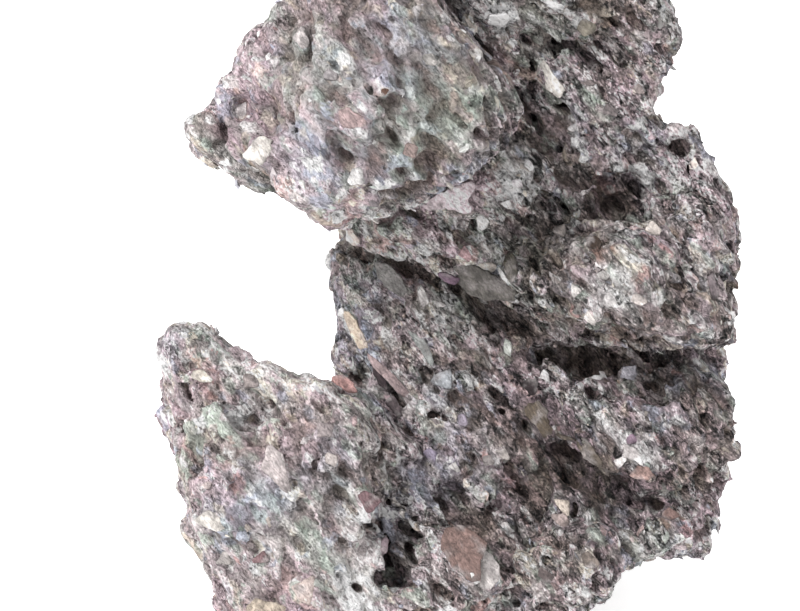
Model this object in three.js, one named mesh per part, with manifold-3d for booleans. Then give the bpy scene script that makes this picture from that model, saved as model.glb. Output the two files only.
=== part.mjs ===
// A single stone of coarse volcanic tuff for an aquarium layout: a leaning crag
// with an overhanging crown, a notched waist and a prow that leans out at its foot.
// Millimetres, +Z up. The origin is the middle of the stone's box at its foot.
import * as THREE from "three";
import { ImprovedNoise } from "three/addons/math/ImprovedNoise.js";
import { mergeVertices } from "three/addons/utils/BufferGeometryUtils.js";
import Module from "manifold-3d";

// Driving dimensions.
const LEAN_DEG = 20; // the stone's bedding leans back by this much
const HEART = [0, 0, 112]; // where the leaning frame stands, above the foot
const SPREAD_AT = 555.6; // outlines widen towards the back as if drawn from a point this far in front
const RINGS = 8; // rings of corners from the front of an outlined mass to its back
const WANDER = 0.24; // how far an outline strays inwards at the front and back, as a share of its size
const IRON_OVER = 15; // away from its own level an outline loses jogs shorter than about this
const FOOT = 0; // height of the flat that the stone rests on

// Each mass of the stone is a group of overlapping lobes. All lengths are in the
// leaning frame: [across, back, up]. size holds a lobe's half-lengths. outline is
// the mass's edge as seen square-on from the front, [across, up] at back = 0.
const MASSES = [
  { name: "spine",
    outline: [
      [-12.5, 114.9], [6.3, 121.7], [25.0, 124.2], [45.3, 123.0], [62.5, 118.6], [76.6, 108.6],
      [81.9, 95.5], [82.5, 81.4], [78.1, 58.6], [90.6, 48.6], [98.8, 33.0], [102.5, 11.1],
      [103.1, -17.0], [99.4, -63.9], [93.8, -75.8], [79.7, -75.8], [54.7, -98.3], [15.6, -117.0],
      [-6.3, -120.2], [-25.0, -110.8], [-31.3, -92.0], [-31.3, -67.0], [-26.6, -45.2], [-19.4, -26.4],
      [-17.8, -10.8], [-18.1, 18.9], [-25.6, 58.0], [-25.0, 83.0],
    ],
    level: 42, half: 62, taper: 0.3,
    lobes: [
      { at: [40.5, 44.0, 72.7], size: [77.6, 44.0, 77.6], blocky: 3.2, facets: 10, rough: 0.2, detail: 3, seed: 61 }, // upper part of the spine
      { at: [72.0, 84.0, 55.9], size: [39.6, 24.0, 34.5], facets: 8, rough: 0.3, detail: 2, seed: 64 }, // rear knuckle, upper right
      { at: [7.4, 104.0, -35.1], size: [44.5, 22.0, 37.1], facets: 8, rough: 0.3, detail: 3, seed: 65 }, // rear knuckle, lower left
      { at: [37.8, 56.0, -42.8], size: [89.4, 52.0, 103.2], blocky: 3.2, facets: 10, rough: 0.2, detail: 4, seed: 62 }, // lower part of the spine
    ] },
  { name: "crown",
    outline: [
      [-31.3, 114.2], [-41.3, 88.0], [-47.8, 83.9], [-49.1, 76.1], [-55.0, 70.5], [-58.8, 60.2],
      [-62.5, 57.7], [-66.3, 58.6], [-67.2, 54.8], [-65.0, 47.7], [-33.8, 29.8], [-20.6, 23.0],
      [-1.6, 28.0], [35.9, 48.6], [39.4, 61.1], [35.3, 73.0], [17.5, 93.9], [15.6, 101.7],
      [17.2, 114.2], [9.4, 122.0], [-3.1, 124.2], [-15.6, 122.0],
    ],
    level: -40, half: 78, taper: 0.32,
    lobes: [
      { at: [-7.2, -24.0, 62.6], size: [46.0, 50.0, 42.5], blocky: 2.9, facets: 9, rough: 0.2, detail: 4, seed: 1 }, // main boulder of the crown
      { at: [-33.6, -13.0, 60.3], size: [29.9, 38.0, 26.9], blocky: 2.6, facets: 10, detail: 4, seed: 2 }, // its left shoulder
      { at: [-58.0, -40.0, 49.2], size: [7.5, 11.0, 9.9], facets: 0, rough: 0.05, detail: 2, seed: 3 }, // knob at the tip
      { at: [-50.7, -38.0, 49.3], size: [10.5, 15.0, 9.3], facets: 3, detail: 2, seed: 4 }, // stalk of the knob
      { at: [-23.2, -6.0, 96.0], size: [29.4, 40.0, 28.4], detail: 4, seed: 5 }, // top left
      { at: [18.6, -22.0, 58.7], size: [25.2, 34.0, 26.4], blocky: 2.3, detail: 4, seed: 6 }, // right cheek
      { at: [-14.1, -32.0, 42.9], size: [35.9, 37.0, 19.4], blocky: 2.9, facets: 8, rough: 0.18, detail: 4, seed: 7 }, // underside
      { at: [0.0, 22.0, 86.3], size: [48.7, 40.0, 42.2], facets: 14, detail: 2, seed: 8 }, // rear of the crown
    ] },
  { name: "upper",
    outline: [
      [9.4, 120.5], [25.0, 125.2], [40.6, 124.2], [71.9, 114.2], [81.3, 104.9], [88.8, 82.3],
      [77.2, 58.6], [81.9, 56.1], [92.2, 59.2], [100.6, 51.1], [104.7, 34.5], [104.1, 25.2],
      [105.6, -12.3], [90.6, -13.3], [76.3, -17.7], [62.5, -13.3], [54.7, -14.5], [37.5, 0.8],
      [21.3, 3.0], [7.8, 12.0], [-15.0, 18.3], [-18.8, 22.7], [-15.6, 33.0], [0.0, 58.0],
      [9.4, 95.5],
    ],
    level: 0, half: 66, taper: 0.22,
    lobes: [
      { at: [62.4, 28.0, 70.7], size: [42.7, 40.0, 65.7], blocky: 3, rough: 0.16, detail: 4, seed: 11 }, // column
      { at: [64.5, 4.0, 98.7], size: [30.8, 38.0, 20.8], blocky: 2.6, detail: 3, seed: 12 }, // top right boulder
      { at: [33.1, 4.0, 104.0], size: [29.0, 34.0, 24.6], blocky: 2.6, detail: 3, seed: 13 }, // top middle
      { at: [52.3, 26.0, 46.0], size: [45.8, 33.0, 40.9], blocky: 3, rough: 0.18, detail: 3, seed: 14 }, // face of the column
      { at: [66.1, 4.0, 6.5], size: [42.5, 38.0, 26.4], blocky: 2.7, rough: 0.18, detail: 4, seed: 15 }, // right bulge
      { at: [6.3, 8.0, 20.8], size: [34.2, 26.0, 13.9], turn: [0, 12, 0], blocky: 2.8, detail: 4, seed: 16 }, // ledge under the crown
      { at: [97.5, 42.0, 38.8], size: [25.2, 42.0, 33.6], blocky: 2.8, detail: 3, seed: 17 }, // shoulder
      { at: [94.9, 26.0, 5.1], size: [26.2, 44.0, 37.6], blocky: 3, detail: 3, seed: 18 }, // right flank
      { at: [25.9, 20.0, 37.4], size: [42.1, 36.0, 32.4], blocky: 2.8, detail: 3, seed: 19 }, // neck
    ] },
  { name: "lower",
    outline: [
      [-20.6, 24.2], [-21.6, 13.6], [-23.8, 11.7], [-23.4, 7.3], [-19.1, 1.7], [-20.9, -3.9],
      [-20.3, -20.8], [-31.3, -35.8], [-37.5, -51.4], [-43.1, -70.2], [-48.4, -110.8], [-43.1, -120.2],
      [-21.9, -123.3], [0.0, -121.7], [18.8, -117.0], [50.0, -102.0], [67.2, -92.7], [69.4, -85.2],
      [80.6, -78.6], [95.3, -80.2], [98.8, -75.8], [104.7, -48.3], [105.6, -12.3], [93.8, 1.7],
      [6.3, 28.3], [-12.5, 29.8],
    ],
    level: 20, half: 62, taper: 0.26,
    lobes: [
      { at: [13.4, 38.0, -13.2], size: [55.1, 36.0, 58.4], blocky: 3.4, facets: 8, rough: 0.14, detail: 4, seed: 21 }, // waist face
      { at: [72.7, 32.0, -46.1], size: [49.6, 36.0, 39.7], blocky: 3, rough: 0.16, detail: 4, seed: 22 }, // lower right mass
      { at: [16.4, 28.0, -57.3], size: [52.5, 32.0, 46.0], blocky: 3, rough: 0.16, detail: 4, seed: 23 }, // lower middle
      { at: [70.8, 44.0, -72.3], size: [50.6, 46.0, 30.4], blocky: 3, detail: 3, seed: 24 }, // foot, right
      { at: [9.6, 12.0, -97.2], size: [63.9, 46.0, 38.3], blocky: 3, rough: 0.16, detail: 3, seed: 25 }, // foot, middle
    ] },
  { name: "prow",
    outline: [
      [-75.9, -8.6], [-65.6, -4.8], [-41.3, -18.9], [-36.9, -17.7], [-17.2, -24.8], [-7.8, -31.1],
      [-3.1, -38.9], [0.6, -57.7], [-3.8, -67.0], [-10.9, -120.2], [-25.0, -124.9], [-40.6, -124.9],
      [-48.4, -120.8], [-57.5, -101.4], [-57.5, -89.5], [-67.8, -70.2], [-64.7, -60.8], [-69.1, -57.7],
      [-70.0, -47.7], [-75.6, -37.0], [-76.3, -23.3], [-74.1, -17.7], [-76.3, -16.1],
    ],
    level: -9, half: 60, taper: 0.3,
    lobes: [
      { at: [-38.8, -4.0, -57.2], size: [46.5, 40.0, 45.0], blocky: 2.6, facets: 14, rough: 0.2, detail: 4, seed: 31 }, // prow
      { at: [-61.9, -5.0, -26.2], size: [24.2, 22.0, 26.3], blocky: 2.8, facets: 6, detail: 3, seed: 32 }, // peak
      { at: [-38.5, -8.0, -93.8], size: [33.9, 44.0, 37.0], blocky: 2.8, rough: 0.16, detail: 4, seed: 33 }, // foot of the prow
      { at: [-16.9, -10.0, -64.3], size: [24.6, 30.0, 36.8], blocky: 2.6, detail: 4, seed: 34 }, // right cheek of the prow
      { at: [-28.4, 6.0, -37.7], size: [31.6, 24.0, 24.6], blocky: 3, detail: 3, seed: 35 }, // saddle
      { at: [-36.2, 30.0, -52.5], size: [41.2, 32.0, 41.2], blocky: 2.6, detail: 3, seed: 36 }, // rear of the prow
    ] },
  { name: "ridges",
    lobes: [
      { at: [46.8, 6.0, -88.3], size: [15.8, 27.0, 32.9], turn: [0, 38, 0], facets: 12, rough: 0.24, detail: 3, seed: 41 }, // low ridge, right
      { at: [-18.1, 0.0, -57.7], size: [30.6, 23.0, 32.5], turn: [0, 0, 38], blocky: 3, facets: 8, rough: 0.16, detail: 3, seed: 43 }, // slope between prow and waist
      { at: [17.1, -2.0, -93.3], size: [15.6, 20.0, 23.4], rough: 0.2, detail: 3, seed: 42 }, // low spur, middle
    ] },
];

// Clefts and pockets taken out of the joined masses.
const HOLLOWS = [
  { at: [57.6, -2.0, -18.2], size: [20.6, 22.0, 6.2], turn: [0, 16, 0], blocky: 2, facets: 8, rough: 0.5, detail: 3, seed: 52 }, // cave under the bulge
  { at: [74.7, -2.0, -24.4], size: [10.6, 14.0, 4.7], turn: [0, 30, 0], blocky: 2, facets: 5, rough: 0.4, detail: 2, seed: 62 }, // end of the cave
  { at: [49.8, -2.0, -44.4], size: [19.3, 16.0, 4.7], turn: [0, 38, 0], blocky: 2, facets: 6, rough: 0.5, detail: 3, seed: 53 }, // cleft of the low band
  { at: [73.4, 0.0, -61.4], size: [13.1, 12.0, 4.4], turn: [0, 42, 0], blocky: 2, facets: 5, rough: 0.4, detail: 2, seed: 63 }, // end of the low cleft
  { at: [24.0, -8.0, -68.5], size: [16.0, 22.0, 6.2], turn: [0, 42, 0], blocky: 2, facets: 6, rough: 0.5, detail: 3, seed: 54 }, // cleft beside the spur
  { at: [-0.6, -14.0, -75.1], size: [5.2, 24.0, 11.6], turn: [0, 14, 0], blocky: 2, facets: 5, rough: 0.4, detail: 2, seed: 55 }, // pocket beside the prow
  { at: [68.8, 0.0, 33.9], size: [7.8, 16.0, 8.8], blocky: 2, facets: 6, rough: 0.5, detail: 2, seed: 56 }, // pocket in the column
  { at: [48.8, 0.0, 56.7], size: [5.9, 14.0, 7.5], blocky: 2, facets: 5, rough: 0.4, detail: 2, seed: 57 }, // pocket beside the crown
  { at: [45.9, 0.0, 31.4], size: [5.0, 12.0, 4.1], blocky: 2, facets: 5, rough: 0.4, detail: 1, seed: 67 }, // pocket under the column
  { at: [31.7, -8.0, 78.7], size: [4.3, 20.0, 10.5], turn: [0, -35, 0], blocky: 2, facets: 4, rough: 0.4, detail: 2, seed: 58 }, // cleft behind the crown
  { at: [60.3, -6.0, 77.1], size: [15.5, 12.0, 3.4], turn: [0, 8, 0], blocky: 2, facets: 4, rough: 0.4, detail: 2, seed: 59 }, // groove under the top boulder
  { at: [-46.4, -30.0, -30.3], size: [8.3, 12.0, 5.9], blocky: 2, facets: 4, rough: 0.4, detail: 1, seed: 68 }, // hollow in the prow
  { at: [-66.6, 14.0, 79.9], size: [26.9, 27.0, 23.7], blocky: 2.2, facets: 6, rough: 0.3, detail: 2, seed: 80 }, // bite behind the shoulder of the crown
  { at: [-43.6, 6.0, 25.1], size: [21.5, 25.0, 14.5], turn: [0, 25, 0], blocky: 2.2, facets: 6, rough: 0.3, detail: 2, seed: 81 }, // bite under the rear of the crown
  { at: [-86.0, 28.0, -65.5], size: [19.0, 23.0, 28.2], blocky: 2.2, facets: 6, rough: 0.3, detail: 2, seed: 82 }, // bite in the flank of the prow
  { at: [-40.2, 72.0, -15.7], size: [21.2, 27.0, 32.5], blocky: 2.2, facets: 6, rough: 0.3, detail: 2, seed: 83 }, // bite in the flank of the spine
  { at: [123.3, 50.0, 14.8], size: [15.0, 25.0, 27.3], blocky: 2.2, facets: 6, rough: 0.3, detail: 2, seed: 84 }, // bite in the right flank
  { at: [27.7, 60.0, 148.0], size: [45.0, 32.0, 21.5], blocky: 2.2, facets: 6, rough: 0.3, detail: 2, seed: 85 }, // bite behind the top
  { at: [26.4, 114.0, -101.5], size: [49.0, 20.0, 33.9], blocky: 2.2, facets: 6, rough: 0.3, detail: 2, seed: 86 }, // bite low on the back
  { at: [-3.0, -78.0, 45.5], size: [3.5, 12.0, 7.5], blocky: 2, facets: 3, rough: 0.4, detail: 1, seed: 70 }, // slot in the crown
];

const wasm = await Module();
wasm.setup();
const noise = new ImprovedNoise();

// A small repeatable random generator.
function random(seed) {
  let s = seed >>> 0;
  return () => {
    s = (s + 0x6d2b79f5) >>> 0;
    let t = Math.imul(s ^ (s >>> 15), 1 | s);
    t = (t + Math.imul(t ^ (t >>> 7), 61 | t)) ^ t;
    return ((t ^ (t >>> 14)) >>> 0) / 4294967296;
  };
}

function solid(geometry) {
  const g = geometry.clone();
  g.deleteAttribute("normal");
  g.deleteAttribute("uv");
  const merged = mergeVertices(g, 1e-4);
  return new wasm.Manifold(
    new wasm.Mesh({
      numProp: 3,
      vertProperties: new Float32Array(merged.attributes.position.array),
      triVerts: new Uint32Array(merged.index.array),
    }),
  );
}

// A lobe is a ball pulled out to its half-lengths, roughened, and broken off flat
// along a few chance planes, as rock is.
function lobe({ at, size, turn = [0, 0, 0], blocky = 2.4, facets = 9, rough = 0.1, detail = 5, seed = 1 }) {
  const rnd = random(seed * 7919 + 13);
  const planes = [];
  for (let i = 0; i < facets; i++) {
    const z = 2 * rnd() - 1;
    const a = 2 * Math.PI * rnd();
    const r = Math.sqrt(1 - z * z);
    planes.push({ n: new THREE.Vector3(r * Math.cos(a), r * Math.sin(a), z), h: 0.8 + 0.14 * rnd() });
  }
  const ball = new THREE.IcosahedronGeometry(1, detail);
  const p = ball.attributes.position;
  const v = new THREE.Vector3();
  const off = 17.3 * seed;
  for (let i = 0; i < p.count; i++) {
    v.fromBufferAttribute(p, i).normalize();
    // rounded to 1e-5 so that the copies of one corner stay together
    v.set(Math.round(v.x * 1e5) / 1e5, Math.round(v.y * 1e5) / 1e5, Math.round(v.z * 1e5) / 1e5);
    let r = 1 / Math.pow(Math.abs(v.x) ** blocky + Math.abs(v.y) ** blocky + Math.abs(v.z) ** blocky, 1 / blocky);
    r *= 1 + rough * (noise.noise(v.x * 1.7 + off, v.y * 1.7, v.z * 1.7) + 0.5 * noise.noise(v.x * 4.1, v.y * 4.1 + off, v.z * 4.1));
    for (const { n, h } of planes) {
      const c = v.dot(n);
      if (c > 0) r = Math.min(r, h / c);
    }
    p.setXYZ(i, v.x * r * size[0], v.y * r * size[1], v.z * r * size[2]);
  }
  const place = new THREE.Matrix4().compose(
    new THREE.Vector3(...at),
    new THREE.Quaternion().setFromEuler(new THREE.Euler(...turn.map(THREE.MathUtils.degToRad))),
    new THREE.Vector3(1, 1, 1),
  );
  return solid(ball.applyMatrix4(place));
}

// The same outline with its small jogs ironed out, corner for corner.
function ironed(outline) {
  const n = outline.length;
  const step = outline.map(([x, y], i) => Math.hypot(outline[(i + 1) % n][0] - x, outline[(i + 1) % n][1] - y));
  const along = [0];
  for (const s of step) along.push(along[along.length - 1] + s);
  const round = along[n];
  return outline.map((_, i) => {
    let [sx, sy, sw] = [0, 0, 0];
    for (let j = 0; j < n; j++) {
      // each side of the outline is sampled at two places
      for (const share of [0.25, 0.75]) {
        const at = along[j] + share * step[j];
        const apart = Math.abs(at - along[i]);
        const d = Math.min(apart, round - apart);
        const w = step[j] * Math.exp(-0.5 * (d / IRON_OVER) ** 2);
        const next = outline[(j + 1) % n];
        sx += w * (outline[j][0] * (1 - share) + next[0] * share);
        sy += w * (outline[j][1] * (1 - share) + next[1] * share);
        sw += w;
      }
    }
    return [sx / sw, sy / sw];
  });
}

// The block that holds a mass to its outline. It is fullest at its own level and
// draws in, unevenly, towards its front and back, so its flanks are rounded.
function outlineBlock({ outline, level, half, taper = 0.3 }) {
  const shape = new THREE.Shape(outline.map(([x, y]) => new THREE.Vector2(x, y)));
  const block = new THREE.ExtrudeGeometry(shape, { depth: 2 * half, bevelEnabled: false, steps: RINGS });
  block.translate(0, 0, -level - half);
  block.rotateX(Math.PI / 2);
  const smooth = ironed(outline);
  const corner = new Map(outline.map(([x, y], i) => [`${Math.round(10 * x)},${Math.round(10 * y)}`, i]));
  const cx = outline.reduce((a, [x]) => a + x, 0) / outline.length;
  const cz = outline.reduce((a, [, y]) => a + y, 0) / outline.length;
  const p = block.attributes.position;
  for (let i = 0; i < p.count; i++) {
    const y = p.getY(i);
    const t = (y - level) / half;
    const j = corner.get(`${Math.round(10 * p.getX(i))},${Math.round(10 * p.getZ(i))}`);
    const even = Math.min(1, 1.7 * Math.abs(t));
    const x = outline[j][0] * (1 - even) + smooth[j][0] * even;
    const z = outline[j][1] * (1 - even) + smooth[j][1] * even;
    const uneven = WANDER * Math.min(1, 2 * Math.abs(t)) * (0.5 + 1.3 * noise.noise(x / 19, y / 21 + 7, z / 19));
    const k = (1 - taper * t * t - uneven) * (1 + y / SPREAD_AT);
    p.setXYZ(i, cx * (1 + y / SPREAD_AT) + (x - cx) * k, y, cz * (1 + y / SPREAD_AT) + (z - cz) * k);
  }
  return solid(block);
}

const join = (solids) => solids.reduce((a, b) => a.add(b));

let stone = join(
  MASSES.map((mass) => {
    const lobes = join(mass.lobes.map(lobe));
    return mass.outline ? lobes.intersect(outlineBlock(mass)) : lobes;
  }),
);
stone = stone.subtract(join(HOLLOWS.map(lobe)));

// The joined surface is shaken by a few millimetres so that no lobe stays a clean
// ball and no cut stays a clean plane. Most of the movement is front to back.
const SHAKE = [
  { reach: 2.4, over: 24 },
  { reach: 1.5, over: 10.5 },
];
function shake(g) {
  const p = g.attributes.position;
  for (let i = 0; i < p.count; i++) {
    const [x, y, z] = [p.getX(i), p.getY(i), p.getZ(i)];
    let [dx, dy, dz] = [0, 0, 0];
    for (const { reach, over } of SHAKE) {
      dx += 0.35 * reach * noise.noise(x / over + 31, y / over, z / over);
      dy += reach * noise.noise(x / over, y / over + 57, z / over);
      dz += 0.35 * reach * noise.noise(x / over, y / over, z / over + 83);
    }
    p.setXYZ(i, x + dx, y + dy, z + dz);
  }
  return g;
}

// Out of the leaning frame, then cut level at the foot.
const lean = new THREE.Matrix4()
  .makeTranslation(...HEART)
  .multiply(new THREE.Matrix4().makeRotationX(-THREE.MathUtils.degToRad(LEAN_DEG)));

function geometryOf(s) {
  const m = s.getMesh();
  const v = new Float32Array(m.numVert * 3);
  for (let i = 0; i < m.numVert; i++) v.set(m.vertProperties.subarray(i * m.numProp, i * m.numProp + 3), i * 3);
  const g = new THREE.BufferGeometry();
  g.setAttribute("position", new THREE.BufferAttribute(v, 3));
  g.setIndex(new THREE.BufferAttribute(new Uint32Array(m.triVerts), 1));
  return g;
}

const upright = solid(shake(geometryOf(stone)).applyMatrix4(lean));
const ground = new THREE.BoxGeometry(600, 600, 200).translate(0, 0, FOOT - 100);
// Chance crumbs that the cuts leave loose are dropped: the stone is the one big body.
function biggestBody(g) {
  const index = g.index.array;
  const owner = Array.from({ length: g.attributes.position.count }, (_, i) => i);
  const find = (i) => {
    while (owner[i] !== i) i = owner[i] = owner[owner[i]];
    return i;
  };
  for (let t = 0; t < index.length; t += 3) {
    owner[find(index[t])] = find(index[t + 1]);
    owner[find(index[t + 1])] = find(index[t + 2]);
  }
  const count = new Map();
  for (let t = 0; t < index.length; t += 3) count.set(find(index[t]), (count.get(find(index[t])) ?? 0) + 1);
  const [big] = [...count].sort((p, q) => q[1] - p[1])[0];
  const kept = [];
  for (let t = 0; t < index.length; t += 3) {
    if (find(index[t]) === big) kept.push(index[t], index[t + 1], index[t + 2]);
  }
  const position = [];
  const seen = new Map();
  const renumbered = kept.map((i) => {
    if (!seen.has(i)) {
      seen.set(i, seen.size);
      position.push(...g.attributes.position.array.subarray(3 * i, 3 * i + 3));
    }
    return seen.get(i);
  });
  const out = new THREE.BufferGeometry();
  out.setAttribute("position", new THREE.Float32BufferAttribute(position, 3));
  out.setIndex(renumbered);
  return out;
}

const geometry = biggestBody(geometryOf(upright.subtract(solid(ground))));
geometry.computeBoundingBox();
const box = geometry.boundingBox;
const middle = box.getCenter(new THREE.Vector3());
geometry.translate(-middle.x, -middle.y, -box.min.z);
geometry.computeVertexNormals();

const stoneMaterial = new THREE.MeshStandardMaterial({
  color: new THREE.Color(0.26, 0.235, 0.23),
  roughness: 0.95,
  metalness: 0,
});

const mesh = new THREE.Mesh(geometry, stoneMaterial);
mesh.name = "rock";
const group = new THREE.Group();
group.add(mesh);

export default group;
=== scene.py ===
import math
import time

import bpy
import numpy as np
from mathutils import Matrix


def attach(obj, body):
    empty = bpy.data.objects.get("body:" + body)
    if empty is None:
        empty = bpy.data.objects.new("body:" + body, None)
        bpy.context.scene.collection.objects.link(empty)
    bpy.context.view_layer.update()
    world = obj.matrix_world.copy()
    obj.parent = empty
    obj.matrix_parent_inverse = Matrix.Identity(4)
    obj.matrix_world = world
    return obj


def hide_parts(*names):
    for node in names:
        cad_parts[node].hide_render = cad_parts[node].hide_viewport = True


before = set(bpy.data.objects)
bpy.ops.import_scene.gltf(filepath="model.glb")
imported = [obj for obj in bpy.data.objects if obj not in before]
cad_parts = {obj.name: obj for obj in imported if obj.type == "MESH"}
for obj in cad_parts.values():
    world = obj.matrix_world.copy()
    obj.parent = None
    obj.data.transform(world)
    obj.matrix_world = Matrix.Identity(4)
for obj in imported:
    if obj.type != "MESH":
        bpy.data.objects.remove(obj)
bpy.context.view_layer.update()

BEGAN = time.perf_counter()


def tick(what):
    print(f"{time.perf_counter() - BEGAN:6.1f} s  {what}", flush=True)


# ---------------------------------------------------------------- frame of the stone
# Millimetres in the part's own frame. The bedding frame leans back by 20 degrees:
# X across, D away, U up, about the point T.
LEAN = math.radians(20)
T = np.array([-17.826, -21.113, 112.0])
EX = np.array([1.0, 0.0, 0.0])
ED = np.array([0.0, math.cos(LEAN), -math.sin(LEAN)])
EU = np.array([0.0, math.sin(LEAN), math.cos(LEAN)])
FAR = 555.6  # eye to T
PX = 3.2  # scale of the view at T


def leaning(x, d, u):
    return x * EX + d * ED + u * EU


# The rock's fabric: fragments are long along FL and thin across FN.
FL = leaning(0.64, 0.0, -0.768)
FN = leaning(0.768 * 0.93, -0.367, 0.64 * 0.93)
FN /= np.linalg.norm(FN)
FL -= FN * (FL @ FN)
FL /= np.linalg.norm(FL)
FM = np.cross(FN, FL)
FABRIC = np.stack([FL, FM, FN])  # rows

H = 0.9  # voxel, mm
SEED = 20


# ---------------------------------------------------------------- noise
def _mix(h):
    h = h.astype(np.uint32)
    h ^= h >> np.uint32(16)
    h *= np.uint32(0x7FEB352D)
    h ^= h >> np.uint32(15)
    h *= np.uint32(0x846CA68B)
    h ^= h >> np.uint32(16)
    return h


def hash3(ix, iy, iz, seed):
    h = ix.astype(np.uint32) * np.uint32(73856093)
    h ^= iy.astype(np.uint32) * np.uint32(19349663)
    h ^= iz.astype(np.uint32) * np.uint32(83492791)
    h ^= np.uint32((seed * 2654435761) & 0xFFFFFFFF)
    return _mix(h)


def unit(h):
    return (h >> np.uint32(8)).astype(np.float32) * np.float32(1 / 16777216)


def noise(p, wave, seed):
    """Smooth value noise in -1..1."""
    q = p / np.float32(wave)
    i = np.floor(q).astype(np.int32)
    f = (q - i).astype(np.float32)
    w = f * f * f * (f * (f * 6 - 15) + 10)
    out = np.zeros(len(p), np.float32)
    for dx in (0, 1):
        wx = w[:, 0] if dx else 1 - w[:, 0]
        for dy in (0, 1):
            wy = wx * (w[:, 1] if dy else 1 - w[:, 1])
            for dz in (0, 1):
                wz = wy * (w[:, 2] if dz else 1 - w[:, 2])
                out += wz * unit(hash3(i[:, 0] + dx, i[:, 1] + dy, i[:, 2] + dz, seed))
    return out * 2 - 1


def fbm(p, wave, octaves, seed, gain=0.5):
    out, a, s = np.zeros(len(p), np.float32), 1.0, 0.0
    for k in range(octaves):
        out += a * noise(p, wave / 2**k, seed + 31 * k)
        s += a
        a *= gain
    return out / s


def cells(p, size, seed, jitter=0.8):
    """Nearest of scattered seeds: (id hash, F1, F2, offset from the seed), in units of size."""
    q = (p / np.float32(size)).astype(np.float32)
    base = np.floor(q - 0.5).astype(np.int32)
    n = len(p)
    f1 = np.full(n, 9.0, np.float32)
    f2 = np.full(n, 9.0, np.float32)
    who = np.zeros(n, np.uint32)
    off = np.zeros((n, 3), np.float32)
    for dx in (0, 1):
        for dy in (0, 1):
            for dz in (0, 1):
                ix, iy, iz = base[:, 0] + dx, base[:, 1] + dy, base[:, 2] + dz
                h = hash3(ix, iy, iz, seed)
                v = np.stack(
                    [
                        q[:, 0] - ix - 0.5 - jitter * (unit(h) - 0.5),
                        q[:, 1] - iy - 0.5 - jitter * (unit(_mix(h + np.uint32(1))) - 0.5),
                        q[:, 2] - iz - 0.5 - jitter * (unit(_mix(h + np.uint32(2))) - 0.5),
                    ],
                    1,
                )
                d = np.sqrt((v * v).sum(1))
                near = d < f1
                f2 = np.where(near, f1, np.minimum(f2, d))
                f1 = np.where(near, d, f1)
                who = np.where(near, h, who)
                off[near] = v[near]
    return who, f1, f2, off


def sub(h, k):
    return unit(_mix(h + np.uint32(k * 7919 + 11)))


# ---------------------------------------------------------------- the CAD solid as a field
def cad_triangles():
    tris = []
    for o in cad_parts.values():
        me = o.data
        me.calc_loop_triangles()
        v = np.zeros(len(me.vertices) * 3, np.float32)
        me.vertices.foreach_get("co", v)
        t = np.zeros(len(me.loop_triangles) * 3, np.int32)
        me.loop_triangles.foreach_get("vertices", t)
        tris.append(v.reshape(-1, 3)[t].reshape(-1, 3, 3))
    return np.concatenate(tris).astype(np.float64) * 1000.0


def occupancy(tri, lo, n, h):
    xs = lo[0] + np.arange(n[0]) * h + 0.0137
    ys = lo[1] + np.arange(n[1]) * h + 0.0071
    ci, cz = [], []
    for t in tri:
        i0 = max(int(math.ceil((t[:, 0].min() - xs[0]) / h)), 0)
        i1 = min(int(math.floor((t[:, 0].max() - xs[0]) / h)), n[0] - 1)
        j0 = max(int(math.ceil((t[:, 1].min() - ys[0]) / h)), 0)
        j1 = min(int(math.floor((t[:, 1].max() - ys[0]) / h)), n[1] - 1)
        if i0 > i1 or j0 > j1:
            continue
        a = (t[1, 0] - t[0, 0]) * (t[2, 1] - t[0, 1]) - (t[2, 0] - t[0, 0]) * (t[1, 1] - t[0, 1])
        if abs(a) < 1e-12:
            continue
        X, Y = xs[i0 : i1 + 1, None], ys[None, j0 : j1 + 1]
        w1 = ((X - t[0, 0]) * (t[2, 1] - t[0, 1]) - (t[2, 0] - t[0, 0]) * (Y - t[0, 1])) / a
        w2 = ((t[1, 0] - t[0, 0]) * (Y - t[0, 1]) - (X - t[0, 0]) * (t[1, 1] - t[0, 1])) / a
        inside = (w1 >= 0) & (w2 >= 0) & (w1 + w2 <= 1)
        if inside.any():
            ii, jj = np.nonzero(inside)
            z = t[0, 2] + w1[inside] * (t[1, 2] - t[0, 2]) + w2[inside] * (t[2, 2] - t[0, 2])
            ci.append((ii + i0) * n[1] + jj + j0)
            cz.append(z)
    ci, cz = np.concatenate(ci), np.concatenate(cz)
    order = np.lexsort((cz, ci))
    ci, cz = ci[order], cz[order]
    # pair the crossings of each column
    start = np.r_[0, np.nonzero(np.diff(ci))[0] + 1]
    rank = np.arange(len(ci)) - np.repeat(start, np.diff(np.r_[start, len(ci)]))
    diff = np.zeros((n[0] * n[1], n[2] + 1), np.int8)
    k = np.clip(np.ceil((cz - lo[2]) / h).astype(int), 0, n[2])
    np.add.at(diff, (ci, k), np.where(rank % 2 == 0, 1, -1).astype(np.int8))
    return (np.cumsum(diff, 1)[:, :-1] > 0).reshape(n[0], n[1], n[2])


def blur(a, sigma):
    r = int(math.ceil(3 * sigma))
    w = np.exp(-0.5 * (np.arange(-r, r + 1) / sigma) ** 2)
    w = (w / w.sum()).astype(np.float32)
    for axis in range(3):
        out = np.zeros_like(a)
        m = a.shape[axis]
        for k, wk in zip(range(-r, r + 1), w):
            src = [slice(None)] * 3
            dst = [slice(None)] * 3
            src[axis] = slice(max(0, k), min(m, m + k))
            dst[axis] = slice(max(0, -k), min(m, m - k))
            out[tuple(dst)] += wk * a[tuple(src)]
        a = out
    return a


def distance(occ, sigma_mm, h):
    """Signed distance near the surface, negative inside, from the blurred solid."""
    b = blur(occ.astype(np.float32), sigma_mm / h)
    d = np.linspace(-3.2, 3.2, 400)
    t = np.array([0.5 * (1 - math.erf(x / math.sqrt(2))) for x in d])
    return np.interp(b, t[::-1], d[::-1]).astype(np.float32) * np.float32(sigma_mm)


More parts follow.
